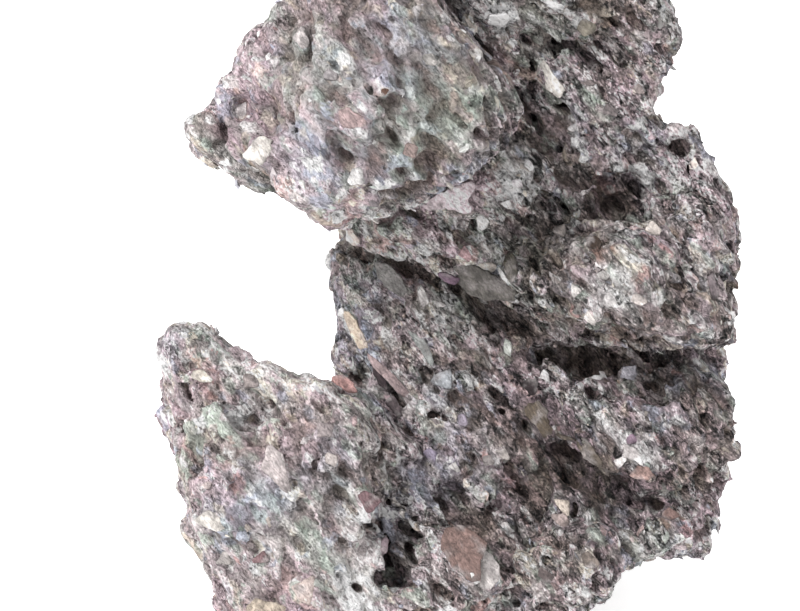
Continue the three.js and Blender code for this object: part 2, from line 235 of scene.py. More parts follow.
# ---------------------------------------------------------------- mesh of a field
CORNERS = [(i, j, k) for i in (0, 1) for j in (0, 1) for k in (0, 1)]
EDGES = [(a, b) for a in range(8) for b in range(a + 1, 8) if sum(x != y for x, y in zip(CORNERS[a], CORNERS[b])) == 1]


def surface_nets(phi, lo, h):
    s = phi < 0
    count = np.zeros(tuple(m - 1 for m in phi.shape), np.uint8)
    for i, j, k in CORNERS:
        count += s[i : s.shape[0] - 1 + i, j : s.shape[1] - 1 + j, k : s.shape[2] - 1 + k]
    idx = np.argwhere((count > 0) & (count < 8))
    val = np.stack([phi[idx[:, 0] + i, idx[:, 1] + j, idx[:, 2] + k] for i, j, k in CORNERS], 1)
    acc = np.zeros((len(idx), 3), np.float32)
    num = np.zeros(len(idx), np.float32)
    for a, b in EDGES:
        va, vb = val[:, a], val[:, b]
        x = (va < 0) != (vb < 0)
        t = np.where(x, va / np.where(va == vb, 1, va - vb), 0)[:, None]
        p = np.array(CORNERS[a], np.float32) + t * (np.array(CORNERS[b], np.float32) - np.array(CORNERS[a], np.float32))
        acc += np.where(x[:, None], p, 0)
        num += x
    verts = (idx + acc / num[:, None]) * h + lo
    vid = np.full(count.shape, -1, np.int32)
    vid[idx[:, 0], idx[:, 1], idx[:, 2]] = np.arange(len(idx))
    quads = []
    for axis in range(3):
        a = [slice(1, -1)] * 3
        b = [slice(1, -1)] * 3
        a[axis] = slice(0, -1)
        b[axis] = slice(1, None)
        sa, sb = s[tuple(a)], s[tuple(b)]
        e = np.argwhere(sa != sb)
        inside_first = sa[e[:, 0], e[:, 1], e[:, 2]]
        g = e.copy()
        for m in range(3):
            if m != axis:
                g[:, m] += 1
        u, w = (axis + 1) % 3, (axis + 2) % 3
        q = []
        for du, dw in ((-1, -1), (0, -1), (0, 0), (-1, 0)):
            c = g.copy()
            c[:, u] += du
            c[:, w] += dw
            q.append(vid[c[:, 0], c[:, 1], c[:, 2]])
        q = np.stack(q, 1)
        q[~inside_first] = q[~inside_first][:, ::-1]
        quads.append(q)
    return verts.astype(np.float32), np.concatenate(quads)


def biggest(verts, quads):
    lab = np.arange(len(verts))
    e = np.concatenate([quads[:, [0, 1]], quads[:, [1, 2]], quads[:, [2, 3]]])
    while True:
        m = np.minimum(lab[e[:, 0]], lab[e[:, 1]])
        new = lab.copy()
        np.minimum.at(new, lab[e[:, 0]], m)
        np.minimum.at(new, lab[e[:, 1]], m)
        new = new[new]
        new = new[new]
        if (new == lab).all():
            break
        lab = new
    names, counts = np.unique(lab, return_counts=True)
    keep = lab == names[counts.argmax()]
    num = np.cumsum(keep) - 1
    return verts[keep], num[quads[keep[quads[:, 0]]]], keep


def vertex_normals(v, f):
    n = np.cross(v[f[:, 1]] - v[f[:, 0]], v[f[:, 2]] - v[f[:, 0]])
    out = np.zeros_like(v)
    for i in range(3):
        for m in range(3):
            out[:, m] += np.bincount(f[:, i], n[:, m], len(v))
    return out / np.maximum(np.linalg.norm(out, axis=1, keepdims=True), 1e-9)


# ---------------------------------------------------------------- building the field
def stretch(p):
    """Fabric coordinates: longer along the fragments, tighter across them."""
    return (p @ (FABRIC / np.array([[1.7], [1.1], [0.72]])).T.astype(np.float32)).astype(np.float32)


def tilt(who, off, k):
    a = 2 * math.pi * sub(who, k)
    z = 2 * sub(who, k + 1) - 1
    r = np.sqrt(1 - z * z)
    return r * np.cos(a) * off[:, 0] + r * np.sin(a) * off[:, 1] + z * off[:, 2]


def relief(p):
    """Outward relief in mm at points p, with the ids of the fragments that they lie in."""
    q = stretch(p)
    q = q + np.stack([1.1 * noise(p, 5, 90 + k) for k in range(3)], 1)
    rough = 1 + 0.35 * noise(p, 50, 3)
    n = 2.3 * fbm(p, 27, 2, 1) + 1.7 * fbm(q, 9, 3, 5) - 0.9
    n += 1.1 * fbm((p @ (FABRIC / np.array([[3.6], [2.0], [0.62]])).T.astype(np.float32)).astype(np.float32), 4.4, 2, 15)
    for c0, radius, much in SWELLS:
        n += much * np.exp(-((p - c0) ** 2).sum(1) / radius**2)
    # ledges and long clefts along the fabric, towards the back
    back = np.clip(((p - T.astype(np.float32)) @ ED.astype(np.float32) - 12) / 22, 0, 1)
    who = np.nonzero(back > 0)[0]
    if len(who):
        long = (p[who] @ (FABRIC / np.array([[2.6], [1.5], [0.8]])).T.astype(np.float32)).astype(np.float32)
        cleft = fbm(long, 19, 2, 18)
        n[who] += back[who] * (3.0 * fbm(long, 24, 2, 17) - 2.6 * np.exp(-((cleft / 0.06) ** 2)))
    big, b1, b2, boff = cells(q, 6.6, 7)
    n += rough * (2.0 * (sub(big, 1) - 0.5) + 3.0 * tilt(big, boff, 2))
    n -= 1.2 * np.exp(-(b2 - b1) / 0.13)
    small, s1, s2, soff = cells(q, 2.8, 9)
    n += rough * (1.5 * (sub(small, 1) - 0.5) + 1.5 * tilt(small, soff, 2))
    n -= 0.6 * np.exp(-(s2 - s1) / 0.15)
    return n, big, small


rng = np.random.default_rng(SEED)
tri = cad_triangles()
lo = tri.reshape(-1, 3).min(0) - 9
hi = tri.reshape(-1, 3).max(0) + 9
lo[2] = -2.5 * H
dims = np.ceil((hi - lo) / H).astype(int)
occ = occupancy(tri, lo, dims, H)
STEP = 3  # the smooth fields are kept on every third voxel
coarse = occ[::STEP, ::STEP, ::STEP].astype(np.float32)
wide = blur(coarse, 9 / H / STEP)  # how enclosed a point is
gentle = blur(coarse, 3.5 / H / STEP)  # for smooth normals
near = distance(occ, 1.5, H)
far = distance(occ, 3.4, H)
w = np.clip((np.abs(near) - 2.4) / 1.6, 0, 1)
base = near * (1 - w) + far * w
del occ, near, far, w, coarse



def at(field, p, step=H):
    i = np.clip(np.rint((p - lo) / step).astype(int), 0, np.array(field.shape) - 1)
    return field[i[..., 0], i[..., 1], i[..., 2]]


def slope(p, reach=3.0):
    """Outward unit normals of the smooth form at points p."""
    g = np.stack([at(gentle, p - e * reach, H * STEP) - at(gentle, p + e * reach, H * STEP) for e in np.eye(3)], -1)
    return g / (np.linalg.norm(g, axis=-1, keepdims=True) + 1e-9)


EYE = T - FAR * ED


def ray(u, v):
    r = ((u - 400) / PX) * EX + ((305.5 - v) / PX) * EU + FAR * ED
    return r / np.linalg.norm(r)


def hit(u, v, field, level=0.0):
    """First point of the field's surface behind the image point (u, v) of the front view."""
    r = ray(u, v)
    s = np.arange(430, 690, 0.4)
    p = EYE + s[:, None] * r
    f = at(field, p)
    k = np.nonzero(f < level)[0]
    return None if len(k) == 0 else p[k[0]]


def image_axes(u, v, turn, n):
    """Axes of a fragment lying in the plane with normal n, its long one seen at the given angle."""
    th = math.radians(turn)
    ax = math.cos(th) * EX + math.sin(th) * EU
    ax = ax - n * (ax @ n)
    ax /= np.linalg.norm(ax)
    return ax, np.cross(n, ax)


def window(c, m, shape):
    a = np.maximum(np.floor((c - m - lo) / H).astype(int), 0)
    b = np.minimum(np.ceil((c + m - lo) / H).astype(int) + 1, shape)
    if (a >= b).any():
        return None, None
    g = np.stack(np.meshgrid(*[np.arange(a[k], b[k]) * H + lo[k] - c[k] for k in range(3)], indexing="ij"), -1)
    return (slice(a[0], b[0]), slice(a[1], b[1]), slice(a[2], b[2])), g


def blob(g, c, axes, radii, planes=(), uneven=0.0, wave=4.0):
    w = g @ axes.T / radii
    e = (np.sqrt((w * w).sum(-1)) - 1) * min(radii)
    for n, h in planes:
        np.maximum(e, g @ n - h, out=e)
    if uneven:
        gp = (g + c).reshape(-1, 3).astype(np.float32)
        e = e + (uneven * fbm(stretch(gp), wave, 2, 300)).reshape(e.shape)
    return e


def carve(c, axes, radii, uneven=0.0, wave=4.0):
    sl, g = window(c, max(radii) * (1.35 if uneven else 1) + 1, phi.shape)
    if sl is not None:
        e = blob(g, c, axes, radii, (), uneven, wave)
        np.maximum(phi[sl], -e, out=phi[sl])


def stick(c, axes, radii, planes, who):
    sl, g = window(c, max(radii) + 1, phi.shape)
    if sl is not None:
        e = blob(g, c, axes, radii, planes)
        got = (e < phi[sl]) & (e < 0.7)
        phi[sl][got] = e[got]
        lump[sl][got] = who


# Rubble that lies in the deeper pockets, [across px, down px, half length px, half width px, turn deg, depth left mm].
for u, v, a, b, turn, left in [
    (620, 197, 25, 28, 0, 6.0), (556, 124, 20, 25, 0, 2.6), (547, 205, 20, 16, 0, 1.0), (503, 48, 36, 18, -60, -0.5), (595, 56, 52, 13, -6, 0.5),
    (398, 552, 40, 18, -76, 5.0), (478, 528, 50, 21, -42, 3.5), (243, 408, 26, 18, -30, 2.0), (389, 136, 26, 13, -85, 2.0),
]:
    r = ray(u, v)
    ax, ay = image_axes(u, v, turn, -r)
    rim = []
    for th in np.linspace(0, 2 * math.pi, 16, endpoint=False):
        c, d = math.cos(th) * a * 1.15, math.sin(th) * b * 1.15
        t = math.radians(turn)
        c = hit(u + c * math.cos(t) - d * math.sin(t), v - c * math.sin(t) - d * math.cos(t), base)
        if c is not None:
            rim.append(np.linalg.norm(c - EYE))
    deep = np.median(rim) + left
    c = EYE + r * (deep + 12)
    k = deep / FAR / PX
    sl, g = window(c, max(a * k * 1.5, 13.0) + 4, base.shape)
    e = blob(g, c, np.stack([ax, ay, r]), np.array([a * k * 1.5, b * k * 1.5, 12.0]), (), 2.2, 7.0)
    np.minimum(base[sl], e, out=base[sl])


# Where the outline swells, [across px, down px, radius mm, how much mm].
SWELLS = []
for u, v, radius, much in [
    (246, 66, 12, 5.8), (199, 132, 7, 2.4), (207, 110, 5, -4.0), (258, 45, 7, 1.5), (233, 92, 10, 2.8), (200, 127, 5, 1.5), (228, 160, 8, 3.2), (250, 181, 7, -4.6), (296, 192, 8, 4.6), (314, 203, 9, 5.4), (334, 220, 8, 5.0),
    (238, 356, 8, 2.8), (262, 368, 8, 3.0), (288, 378, 8, 2.6), (320, 388, 7, 2.0), (172, 342, 8, 3.2), (172, 372, 6, 0.6), (668, 26, 10, 3.8),
    (690, 136, 8, 2.4), (676, 545, 9, 3.0), (638, 552, 8, 3.4), (608, 590, 8, 2.8), (205, 337, 9, 2.6), (345, 364, 7, 3.8),
]:
    c0 = hit(u, v, base)
    if c0 is not None:
        SWELLS.append((c0.astype(np.float32), radius, much))

band = np.argwhere(np.abs(base) < 7.5)
pts = (band * H + lo).astype(np.float32)
lift, _, _ = relief(pts)
phi = base.copy()
phi[band[:, 0], band[:, 1], band[:, 2]] -= lift
lump = np.zeros(phi.shape, np.int16)  # which stamped fragment a voxel belongs to
tick("relief")


def turned(spread):
    q, r = np.linalg.qr((FABRIC + rng.normal(0, spread, (3, 3))).T)
    return (q * np.sign(np.diag(r))).T


def on_surface(want, chance):
    """Random voxels of the surface, taken with the given chance."""
    near = np.abs(phi[band[:, 0], band[:, 1], band[:, 2]]) < 0.6
    cand = pts[near]
    cand = cand[rng.random(len(cand)) < chance(cand)]
    return cand[rng.permutation(len(cand))[:want]].astype(np.float64)


# ---------------------------------------------------------------- colours
def lin(*rgb):
    c = np.array(rgb, float) / 255
    return np.where(c <= 0.04045, c / 12.92, ((c + 0.055) / 1.055) ** 2.4)


TONE = 0.93
GREY = lin(154, 147, 146)
MAUVE = lin(154, 135, 141)
GREEN = lin(135, 147, 137)
BLUE = lin(137, 144, 159)
PLUM = lin(93, 80, 85)
CREAM = lin(200, 190, 175)
WHITE = lin(234, 231, 230)
PINK = lin(172, 146, 143)
BRICK = lin(148, 106, 101)
TAN = lin(160, 146, 128)
RUST = lin(140, 114, 96)
BROWN = lin(82, 70, 63)
PALETTE = np.array([GREY, MAUVE, GREEN, BLUE, PLUM, CREAM, WHITE, PINK, BRICK, TAN, RUST, BROWN])
BIG_WEIGHTS = np.array([22, 18, 15, 8, 12, 4, 4, 6, 2, 3, 0.5, 5], float)
CHIP_WEIGHTS = np.array([24, 14, 13, 9, 10, 8, 15, 5, 1.2, 3, 0.4, 5], float)


def pick(x, weights):
    c = np.cumsum(weights) / weights.sum()
    return np.searchsorted(c, np.clip(x, 0, 0.999999))


# Lumps: fragments a few millimetres across, set in the surface and standing out of it.
LUMPS = 4200
lump_tone = np.zeros((LUMPS + 1, 3))
for i, c in enumerate(on_surface(LUMPS, lambda p: 0.25 + 0.75 * np.clip(0.5 + noise(p, 26, 61), 0, 1)), 1):
    r = 1.0 + 2.4 * rng.random() ** 2.2
    axes = turned(0.4)
    planes = [(n / np.linalg.norm(n), r * rng.uniform(0.55, 0.95)) for n in rng.normal(size=(5, 3))]
    stick(c - slope(c) * r * rng.uniform(0.25, 0.75), axes, r * np.array([1.2 + 0.8 * rng.random(), 1.0, 0.75]), planes, i)
    tone = PALETTE[pick(rng.random(), CHIP_WEIGHTS)]
    lump_tone[i] = (0.72 * tone + 0.28 * GREY) * rng.uniform(0.85, 1.15)
tick("lumps")

# Blunt fragments that stand out along the crown's lower lip, [across px, down px, half length mm, turn deg, tone].
for u, v, a, turn, tone in [
    (347, 236, 3.2, -50, TAN), (362, 243, 2.8, -30, MAUVE), (374, 249, 3.4, -60, GREY), (386, 252, 3.0, -70, PINK), (399, 256, 3.6, -80, CREAM),
    (411, 254, 3.0, -60, MAUVE), (423, 252, 3.4, -100, CREAM), (434, 246, 3.2, -60, GREY), (452, 252, 3.4, -40, MAUVE), (466, 254, 3.6, -30, PINK),
    (300, 200, 3.2, -40, GREY), (325, 214, 3.0, -30, MAUVE), (283, 190, 3.2, -40, PINK), (262, 176, 2.8, -30, GREY),
]:
    c = hit(u, v, phi)
    if c is not None:
        ax, ay = image_axes(u, v, turn, -ray(u, v))
        lump_tone = np.vstack([lump_tone, tone * 1.1])
        planes = [(n / np.linalg.norm(n), a * rng.uniform(0.5, 0.85)) for n in rng.normal(size=(6, 3))]
        stick(c + ray(u, v) * 0.9, np.stack([ax, ay, -ray(u, v)]), a * np.array([1.25, 0.8, 0.8]), planes, len(lump_tone) - 1)

# Named hollows of the front, [across px, down px, half length px, half width px, turn deg, depth mm].
HOLLOWS = [
    (556, 126, 10, 12, 30, 2.2), (619, 207, 18, 11, 0, 7), (632, 189, 8, 12, 0, 7),
    (547, 205, 9, 7, 20, 1.6), (550, 356, 14, 6, -22, 5), (592, 362, 25, 13, -12, 5), (597, 394, 8, 7, 0, 5), (614, 391, 9, 9, -30, 5),
    (656, 383, 6, 10, -60, 5), (397, 545, 5, 22, 14, 2.2), (184, 368, 5, 4, 0, 3),
    (243, 408, 13, 9, -30, 2.5), (388, 60, 13, 9, 0, 1.2), (292, 100, 15, 12, 20, 1.2), (388, 138, 6, 15, -10, 1.5),
    (332, 145, 6, 5, 0, 1.6), (432, 95, 7, 8, 0, 1.2), (384, 288, 6, 3.5, -20, 3), (400, 301, 4.5, 6, -30, 3.5),
    (484, 527, 30, 9, -45, 3.5), (460, 508, 14, 9, -20, 3), (560, 466, 28, 7, -45, 3.5), (612, 497, 22, 6, -38, 3), 
     (540, 340, 20, 5, -38, 3.5),
    (505, 322, 16, 5, -20, 3), (535, 398, 8, 4, -40, 3), (352, 232, 7, 5, -40, 2.5), (675, 152, 8, 9, 0, 4),
    (690, 172, 6, 8, 0, 3.5), (548, 490, 5, 5, 0, 3.5), (520, 445, 7, 4, -40, 3), (596, 240, 8, 7, -30, 2),
    (300, 520, 6, 3, -60, 1.2), (240, 470, 5, 3, -60, 1.2), (262, 540, 6, 3, -60, 1.2), (340, 470, 7, 3, -50, 1.5),
    (215, 440, 6, 3, -60, 1.2), (280, 410, 7, 4, -35, 1.5), (530, 480, 5, 4, 0, 3.5),
    (573, 510, 4, 5, 0, 3.5), (597, 490, 4, 5, 0, 3.5), (428, 340, 3.5, 4.5, 0, 3), (423, 280, 5, 3.5, 20, 3), (640, 160, 7, 6, 0, 3.5),
]
# Slits below overhanging edges, [points px, half width px, depth mm], cut in short lengths.
SLITS = [
    ([(336, 236), (348, 247), (362, 255), (378, 261), (394, 265), (412, 270), (436, 277)], 3.6, 6),
    ([(455, 288), (463, 295), (473, 300), (487, 303), (502, 302), (518, 303)], 3.6, 5),
    ([(518, 302), (530, 308), (546, 318), (558, 330)], 2.2, 3), ([(470, 303), (490, 312), (512, 318)], 5, 3.5),
    ([(568, 352), (584, 347), (602, 349), (618, 357), (632, 362)], 3, 4), ([(474, 270), (484, 277), (495, 274)], 1.6, 2),
    ([(541, 442), (556, 458), (574, 474), (592, 488), (612, 500)], 4, 3), ([(444, 497), (458, 506), (478, 514), (500, 534), (508, 552)], 5, 3),
    ([(352, 352), (372, 372), (392, 394)], 1.8, 2), ([(430, 372), (452, 392), (480, 412)], 1.8, 2), ([(405, 350), (425, 372), (440, 386)], 1.6, 2),
    ([(500, 400), (520, 420), (532, 436)], 2.5, 2.5), ([(470, 455), (492, 470), (512, 488)], 1.8, 2), ([(650, 500), (672, 512), (696, 520)], 2, 2.5),
]
for line, b, depth in SLITS:
    for (u0, v0), (u1, v1) in zip(line[:-1], line[1:]):
        u, v = (u0 + u1) / 2, (v0 + v1) / 2
        c = hit(u, v, base)
        if c is None:
            continue
        r = ray(u, v)
        ax, ay = image_axes(u, v, math.degrees(math.atan2(v0 - v1, u1 - u0)), -r)
        s = np.linalg.norm(c - EYE) / FAR / PX
        carve(c + r * depth * 0.3, np.stack([ax, ay, r]), np.array([math.hypot(u1 - u0, v1 - v0) * s * 0.72, b * s * 1.15, depth]), uneven=0.9, wave=3.0)

for u, v, a, b, turn, depth in HOLLOWS:
    c = hit(u, v, base)
    if c is None:
        continue
    r = ray(u, v)
    ax, ay = image_axes(u, v, turn, -r)
    s = np.linalg.norm(c - EYE) / FAR / PX
    carve(c + r * depth * 0.2, np.stack([ax, ay, r]), np.array([a * s * 1.2, b * s * 1.25, depth]), uneven=min(4.2, b * s * 1.9), wave=4.0)


# Caverns: ragged pockets a few millimetres across, thickest towards the right, the top and the foot.
def cavernous(p):
    x, u = (p - T) @ EX, (p - T) @ EU
    right = np.clip((x - 8) / 30, 0, 1)
    top = np.clip((u - 24) / 14, 0, 1)
    low = np.clip((-52 - u) / 14, 0, 1)
    return np.clip(0.12 + 0.95 * right + 0.4 * top * (x > -20) + 0.4 * low * (x > -30), 0, 1) * np.clip(0.45 + 1.2 * noise(p, 20, 71), 0, 1)


for c in on_surface(520, cavernous):
    r = 1.6 + 2.2 * rng.random() ** 1.8
    inward = -slope(c)
    for _ in range(int(rng.integers(1, 4))):
        carve(c + inward * r * 0.3 + rng.normal(0, 0.55 * r, 3), turned(0.3), r * np.array([1.5, 1.0, 0.75]) * rng.uniform(0.6, 1.1), uneven=1.7, wave=3.0)

# Pores, thick in some places and thin in others, drawn out along the fabric.
for c in on_surface(9000, lambda p: 0.35 + 0.65 * np.clip(0.5 + 1.1 * noise(p, 24, 77), 0, 1)):
    r = 0.85 + (1.9 if (c - T) @ EX > -18 else 0.6) * rng.random() ** 3.2
    if rng.random() < 0.22:
        r = 0.8 + 0.5 * rng.random()
        carve(c + rng.normal(0, 0.3, 3), turned(0.14), r * np.array([rng.uniform(2.4, 5.0), 1.7, 0.8]))
    else:
        carve(c + rng.normal(0, 0.3, 3), turned(0.28), r * np.array([1.35 + 0.9 * rng.random(), 1.0, 0.72]))
tick("holes")

# Clasts: the larger fragments that can be told apart on the front, [across px, down px,
# half length px, half width px, turn deg, colour, thickness mm, how proud mm].
CLASTS = [
    (447, 197, 26, 12, 20, lin(216, 198, 203), 4, 1.5), (482, 222, 11, 4, -70, lin(206, 202, 200), 3, 0.5), (552, 82, 23, 6, -60, lin(190, 184, 178), 4, 0.8),
    (572, 128, 6, 4, 20, lin(180, 176, 176), 3, 0.5), (575, 142, 5, 4, -20, lin(200, 198, 198), 3, 0.5), (530, 165, 7, 4, -50, lin(236, 232, 234), 3, 0.3),
    (520, 185, 8, 4, -50, lin(206, 200, 202), 3, 0.3), (508, 205, 7, 4, -50, lin(212, 208, 206), 3, 0.3), (499, 22, 12, 7, -20, lin(226, 224, 224), 4, 0.5),
    (593, 241, 8, 7, -30, lin(46, 34, 26), 3, 0.2), (656, 230, 9, 7, 0, lin(170, 161, 155), 4, 0.8), (351, 235, 11, 6, -50, lin(224, 208, 200), 4, 0.9),
    (483, 284, 33, 12, -24, lin(92, 88, 84), 3, 0.7), (485, 268, 12, 6, -10, lin(202, 192, 184), 3, 1.3), (503, 275, 11, 3, -48, lin(222, 220, 218), 3, 1.4),
    (510, 267, 14, 9, -60, lin(78, 74, 65), 3, 1.0), (610, 300, 8, 7, 0, lin(168, 164, 163), 4, 0.5), (603, 275, 8, 5, 20, lin(150, 147, 144), 4, 0.4),
    (356, 332, 23, 6, -58, lin(182, 166, 150), 4, 1.4), (343, 314, 6, 3.5, -50, lin(226, 222, 218), 3, 1.4), (343, 383, 15, 7, -42, lin(160, 126, 122), 4, 1.1),
    (388, 374, 32, 8, -48, lin(141, 124, 124), 4, 1.4), (380, 377, 15, 6, -60, lin(52, 42, 45), 3, 1.2), (395, 406, 15, 5, -65, lin(70, 61, 63), 4, 0.8),
    (420, 349, 24, 5, -52, lin(136, 138, 136), 3, 0.5), (388, 279, 24, 12, -42, lin(126, 123, 121), 3, 0.2), (530, 386, 12, 7, -70, lin(38, 30, 32), 4, 0.7),
    (538, 418, 22, 10, -52, lin(86, 76, 66), 4, 1.6), (588, 452, 20, 8, -45, lin(86, 77, 69), 4, 1.5), (565, 437, 11, 3, -12, lin(74, 66, 59), 3, 0.7),
    (629, 373, 9, 9, 0, lin(154, 151, 158), 4, 0.8), (595, 379, 7, 5, 0, lin(224, 220, 222), 3, 0.5), (632, 452, 14, 5, -50, lin(164, 158, 157), 4, 0.5),
    (646, 474, 12, 7, -55, lin(140, 116, 110), 4, 0.7), (671, 515, 11, 4.5, -8, lin(92, 74, 70), 4, 0.6), (462, 556, 26, 16, -50, lin(110, 90, 85), 5, 3.0),
    (486, 566, 22, 9, -60, lin(166, 160, 158), 4, 1.2), (385, 546, 12, 4.5, 72, lin(130, 115, 120), 4, 0.6), (368, 500, 14, 7.5, -50, lin(104, 82, 85), 4, 0.5),
    (306, 591, 13, 12, 0, lin(184, 168, 162), 4, 0.9), (280, 470, 31, 6.5, -68, lin(168, 158, 157), 4, 0.7), (200, 375, 14, 6, -20, lin(182, 174, 164), 4, 0.7),
    (213, 523, 14, 7, -60, lin(182, 176, 170), 4, 0.7), (207, 485, 6, 5, 0, lin(180, 166, 164), 4, 0.5), (489, 460, 8, 4, -30, lin(130, 123, 121), 3, 0.5),
    (385, 91, 4.5, 3.5, 0, lin(88, 64, 54), 3, 0.5), (352, 118, 17, 9, -20, lin(154, 134, 133), 4, 0.6), (260, 150, 17, 12, 80, lin(190, 184, 178), 4, 0.9),
    (357, 178, 11, 9, 80, lin(184, 181, 180), 4, 0.7), (332, 460, 9, 6, -50, lin(158, 149, 146), 4, 0.5), (262, 558, 8, 6, -30, lin(120, 96, 98), 4, 0.5),
    (300, 40, 12, 7, -40, lin(154, 147, 146), 4, 0.5), (430, 60, 9, 6, -30, lin(134, 130, 127), 4, 0.5), (240, 110, 9, 6, -60, lin(188, 180, 180), 4, 0.5),
    (412, 150, 9, 7, 0, lin(130, 114, 110), 4, 0.5), (330, 75, 8, 6, 0, lin(118, 113, 114), 4, 0.5), (586, 30, 12, 8, -20, lin(114, 108, 98), 4, 0.5),
    (612, 110, 8, 5, -50, lin(104, 96, 96), 4, 0.5), (640, 90, 8, 5, -50, lin(122, 112, 110), 4, 0.5), (560, 520, 12, 6, -40, lin(134, 121, 118), 4, 0.6),
    (562, 508, 13, 3.5, -48, lin(172, 160, 150), 3, 0.6), (590, 560, 12, 6, -35, lin(108, 98, 92), 4, 0.5), (545, 575, 12, 7, -40, lin(80, 71, 70), 4, 0.5),
    (250, 380, 11, 6, -35, lin(126, 117, 115), 4, 0.6), (325, 430, 12, 5, -50, lin(138, 128, 128), 4, 0.5), (225, 560, 9, 6, -30, lin(150, 144, 141), 4, 0.5),
    (448, 279, 13, 4.5, -32, lin(104, 84, 98), 3, 0.5), (423, 298, 10, 3.5, -52, lin(196, 190, 188), 3, 0.4), (440, 304, 9, 3, -25, lin(178, 174, 172), 3, 0.4),
    (508, 347, 9, 4.5, 70, lin(176, 178, 172), 3, 0.5), (546, 376, 8, 3.5, -68, lin(206, 202, 202), 3, 0.7), (467, 256, 9, 5, -50, lin(164, 136, 138), 3, 0.7),
    (632, 440, 8, 5, -30, lin(110, 92, 104), 3, 0.5), (620, 462, 9, 4, 30, lin(196, 190, 188), 3, 0.5), (638, 458, 10, 3.5, -75, lin(202, 196, 194), 3, 0.5),
    (445, 380, 12, 2.5, -55, lin(150, 152, 156), 3, 0.4), (462, 420, 10, 5, -48, lin(120, 112, 122), 3, 0.4), (430, 455, 9, 5, -50, lin(116, 108, 122), 3, 0.4),
    (455, 468, 7, 3.5, -40, lin(190, 186, 184), 3, 0.4), (505, 455, 10, 3, -50, lin(160, 152, 148), 3, 0.4), (575, 290, 7, 5, 0, lin(172, 168, 165), 3, 0.4),
    (640, 300, 8, 5, -40, lin(160, 152, 148), 3, 0.5), (590, 320, 9, 4, -45, lin(170, 164, 160), 3, 0.4), (560, 230, 10, 5, -50, lin(140, 132, 128), 3, 0.4),
]
# The outlines of some of them, in px.
OUTLINES = {
    (462, 556): [(448, 528), (461, 527), (474, 534), (487, 546), (480, 562), (478, 583), (470, 583), (452, 568), (441, 550), (440, 541)],
    (486, 566): [(480, 546), (492, 553), (498, 566), (499, 580), (488, 590), (478, 585), (480, 566)],
    (447, 197): [(421, 205), (432, 197), (448, 189), (471, 180), (476, 186), (468, 200), (472, 214), (462, 213), (446, 208), (428, 211)],
    (538, 418): [(527, 404), (538, 401), (546, 411), (549, 425), (558, 434), (556, 439), (544, 438), (535, 426), (524, 415)],
    (588, 452): [(574, 437), (583, 438), (594, 448), (603, 460), (604, 467), (596, 466), (584, 457), (577, 447)],
    (565, 437): [(554, 433), (564, 436), (576, 437), (578, 441), (566, 440), (555, 438)],
    (483, 284): [(450, 270), (466, 264), (482, 270), (500, 279), (517, 289), (516, 299), (500, 298), (484, 300), (469, 295), (457, 286)],
    (485, 268): [(473, 269), (480, 263), (491, 262), (498, 266), (495, 272), (484, 276)],
    (503, 275): [(496, 267), (500, 268), (511, 280), (510, 283), (503, 279)],
    (510, 267): [(501, 255), (508, 252), (516, 260), (520, 272), (516, 281), (508, 278), (502, 266)],
    (356, 332): [(340, 311), (347, 312), (356, 320), (362, 331), (370, 346), (368, 351), (361, 350), (354, 338), (347, 325)],
    (388, 374): [(364, 353), (370, 353), (381, 364), (396, 376), (410, 393), (409, 400), (400, 395), (389, 382), (374, 368)],
    (343, 383): [(333, 374), (342, 375), (351, 384), (356, 395), (350, 394), (340, 388), (334, 382)],
    (380, 377): [(372, 363), (379, 368), (388, 384), (387, 390), (379, 385), (373, 373)],
    (420, 349): [(403, 329), (414, 332), (425, 340), (432, 354), (434, 366), (428, 364), (421, 351), (411, 340)],
    (388, 279): [(372, 262), (386, 264), (400, 275), (408, 290), (402, 297), (388, 290), (377, 279)],
}
rims = []


def plate_rim(radii, outline, r):
    """Distance of the rim from the middle, as a function of the angle in the plate's own plane."""
    if outline is not None:
        P = np.asarray(outline)
        Q = np.roll(P, -1, 0)

        def f(th):
            d = np.stack([np.cos(th), np.sin(th)], -1)
            e = Q - P
            det = d[..., None, 0] * -e[:, 1] + d[..., None, 1] * e[:, 0]
            det = np.where(np.abs(det) < 1e-9, 1e-9, det)
            t = (-P[:, 0] * e[:, 1] + P[:, 1] * e[:, 0]) / det
            s = (d[..., None, 0] * P[:, 1] - d[..., None, 1] * P[:, 0]) / det
            t = np.where((t > 0) & (s >= -0.001) & (s <= 1.001), t, 0)
            return np.maximum(t.max(-1), 0.3)

        return f
    m = int(r.integers(4, 7))
    turn = 2 * math.pi * (np.arange(m) + r.uniform(-0.36, 0.36, m)) / m
    gap = np.hypot(radii[0] * np.cos(turn), radii[1] * np.sin(turn)) * r.uniform(0.66, 1.0, m)
    return lambda th: (np.maximum(np.cos(th[..., None] - turn) / gap, 1e-3) ** 26).sum(-1) ** (-1 / 26)


# Each lies in a bed cleared for it in the surface.
clasts = []


def lay(c, n, ax, radii, tone, thick, proud, rim):
    ay = np.cross(n, ax)
    top = c + n * (proud - 0.4)
    axes = np.stack([ax, ay, n])
    clasts.append((top, axes, radii, tone, thick, rim))
    sl, g = window(c, max(radii[:2]) * 1.3 + 3.5, phi.shape)
    if sl is None:
        return
    w = g @ axes.T
    out = np.hypot(w[..., 0], w[..., 1])
    out = out / (rim(np.arctan2(w[..., 1], w[..., 0])) + 0.25)
    gp = (g + c).reshape(-1, 3).astype(np.float32)
    out = out + (0.42 * fbm(gp, 4.2, 2, 500)).reshape(out.shape)
    share = np.clip((1.12 - out) * 4.5, 0, 1) * np.clip(4.0 - np.abs(w[..., 2]) / 2.0, 0, 1)
    phi[sl] += ((g + c - top) @ n + 0.8 - phi[sl]) * share


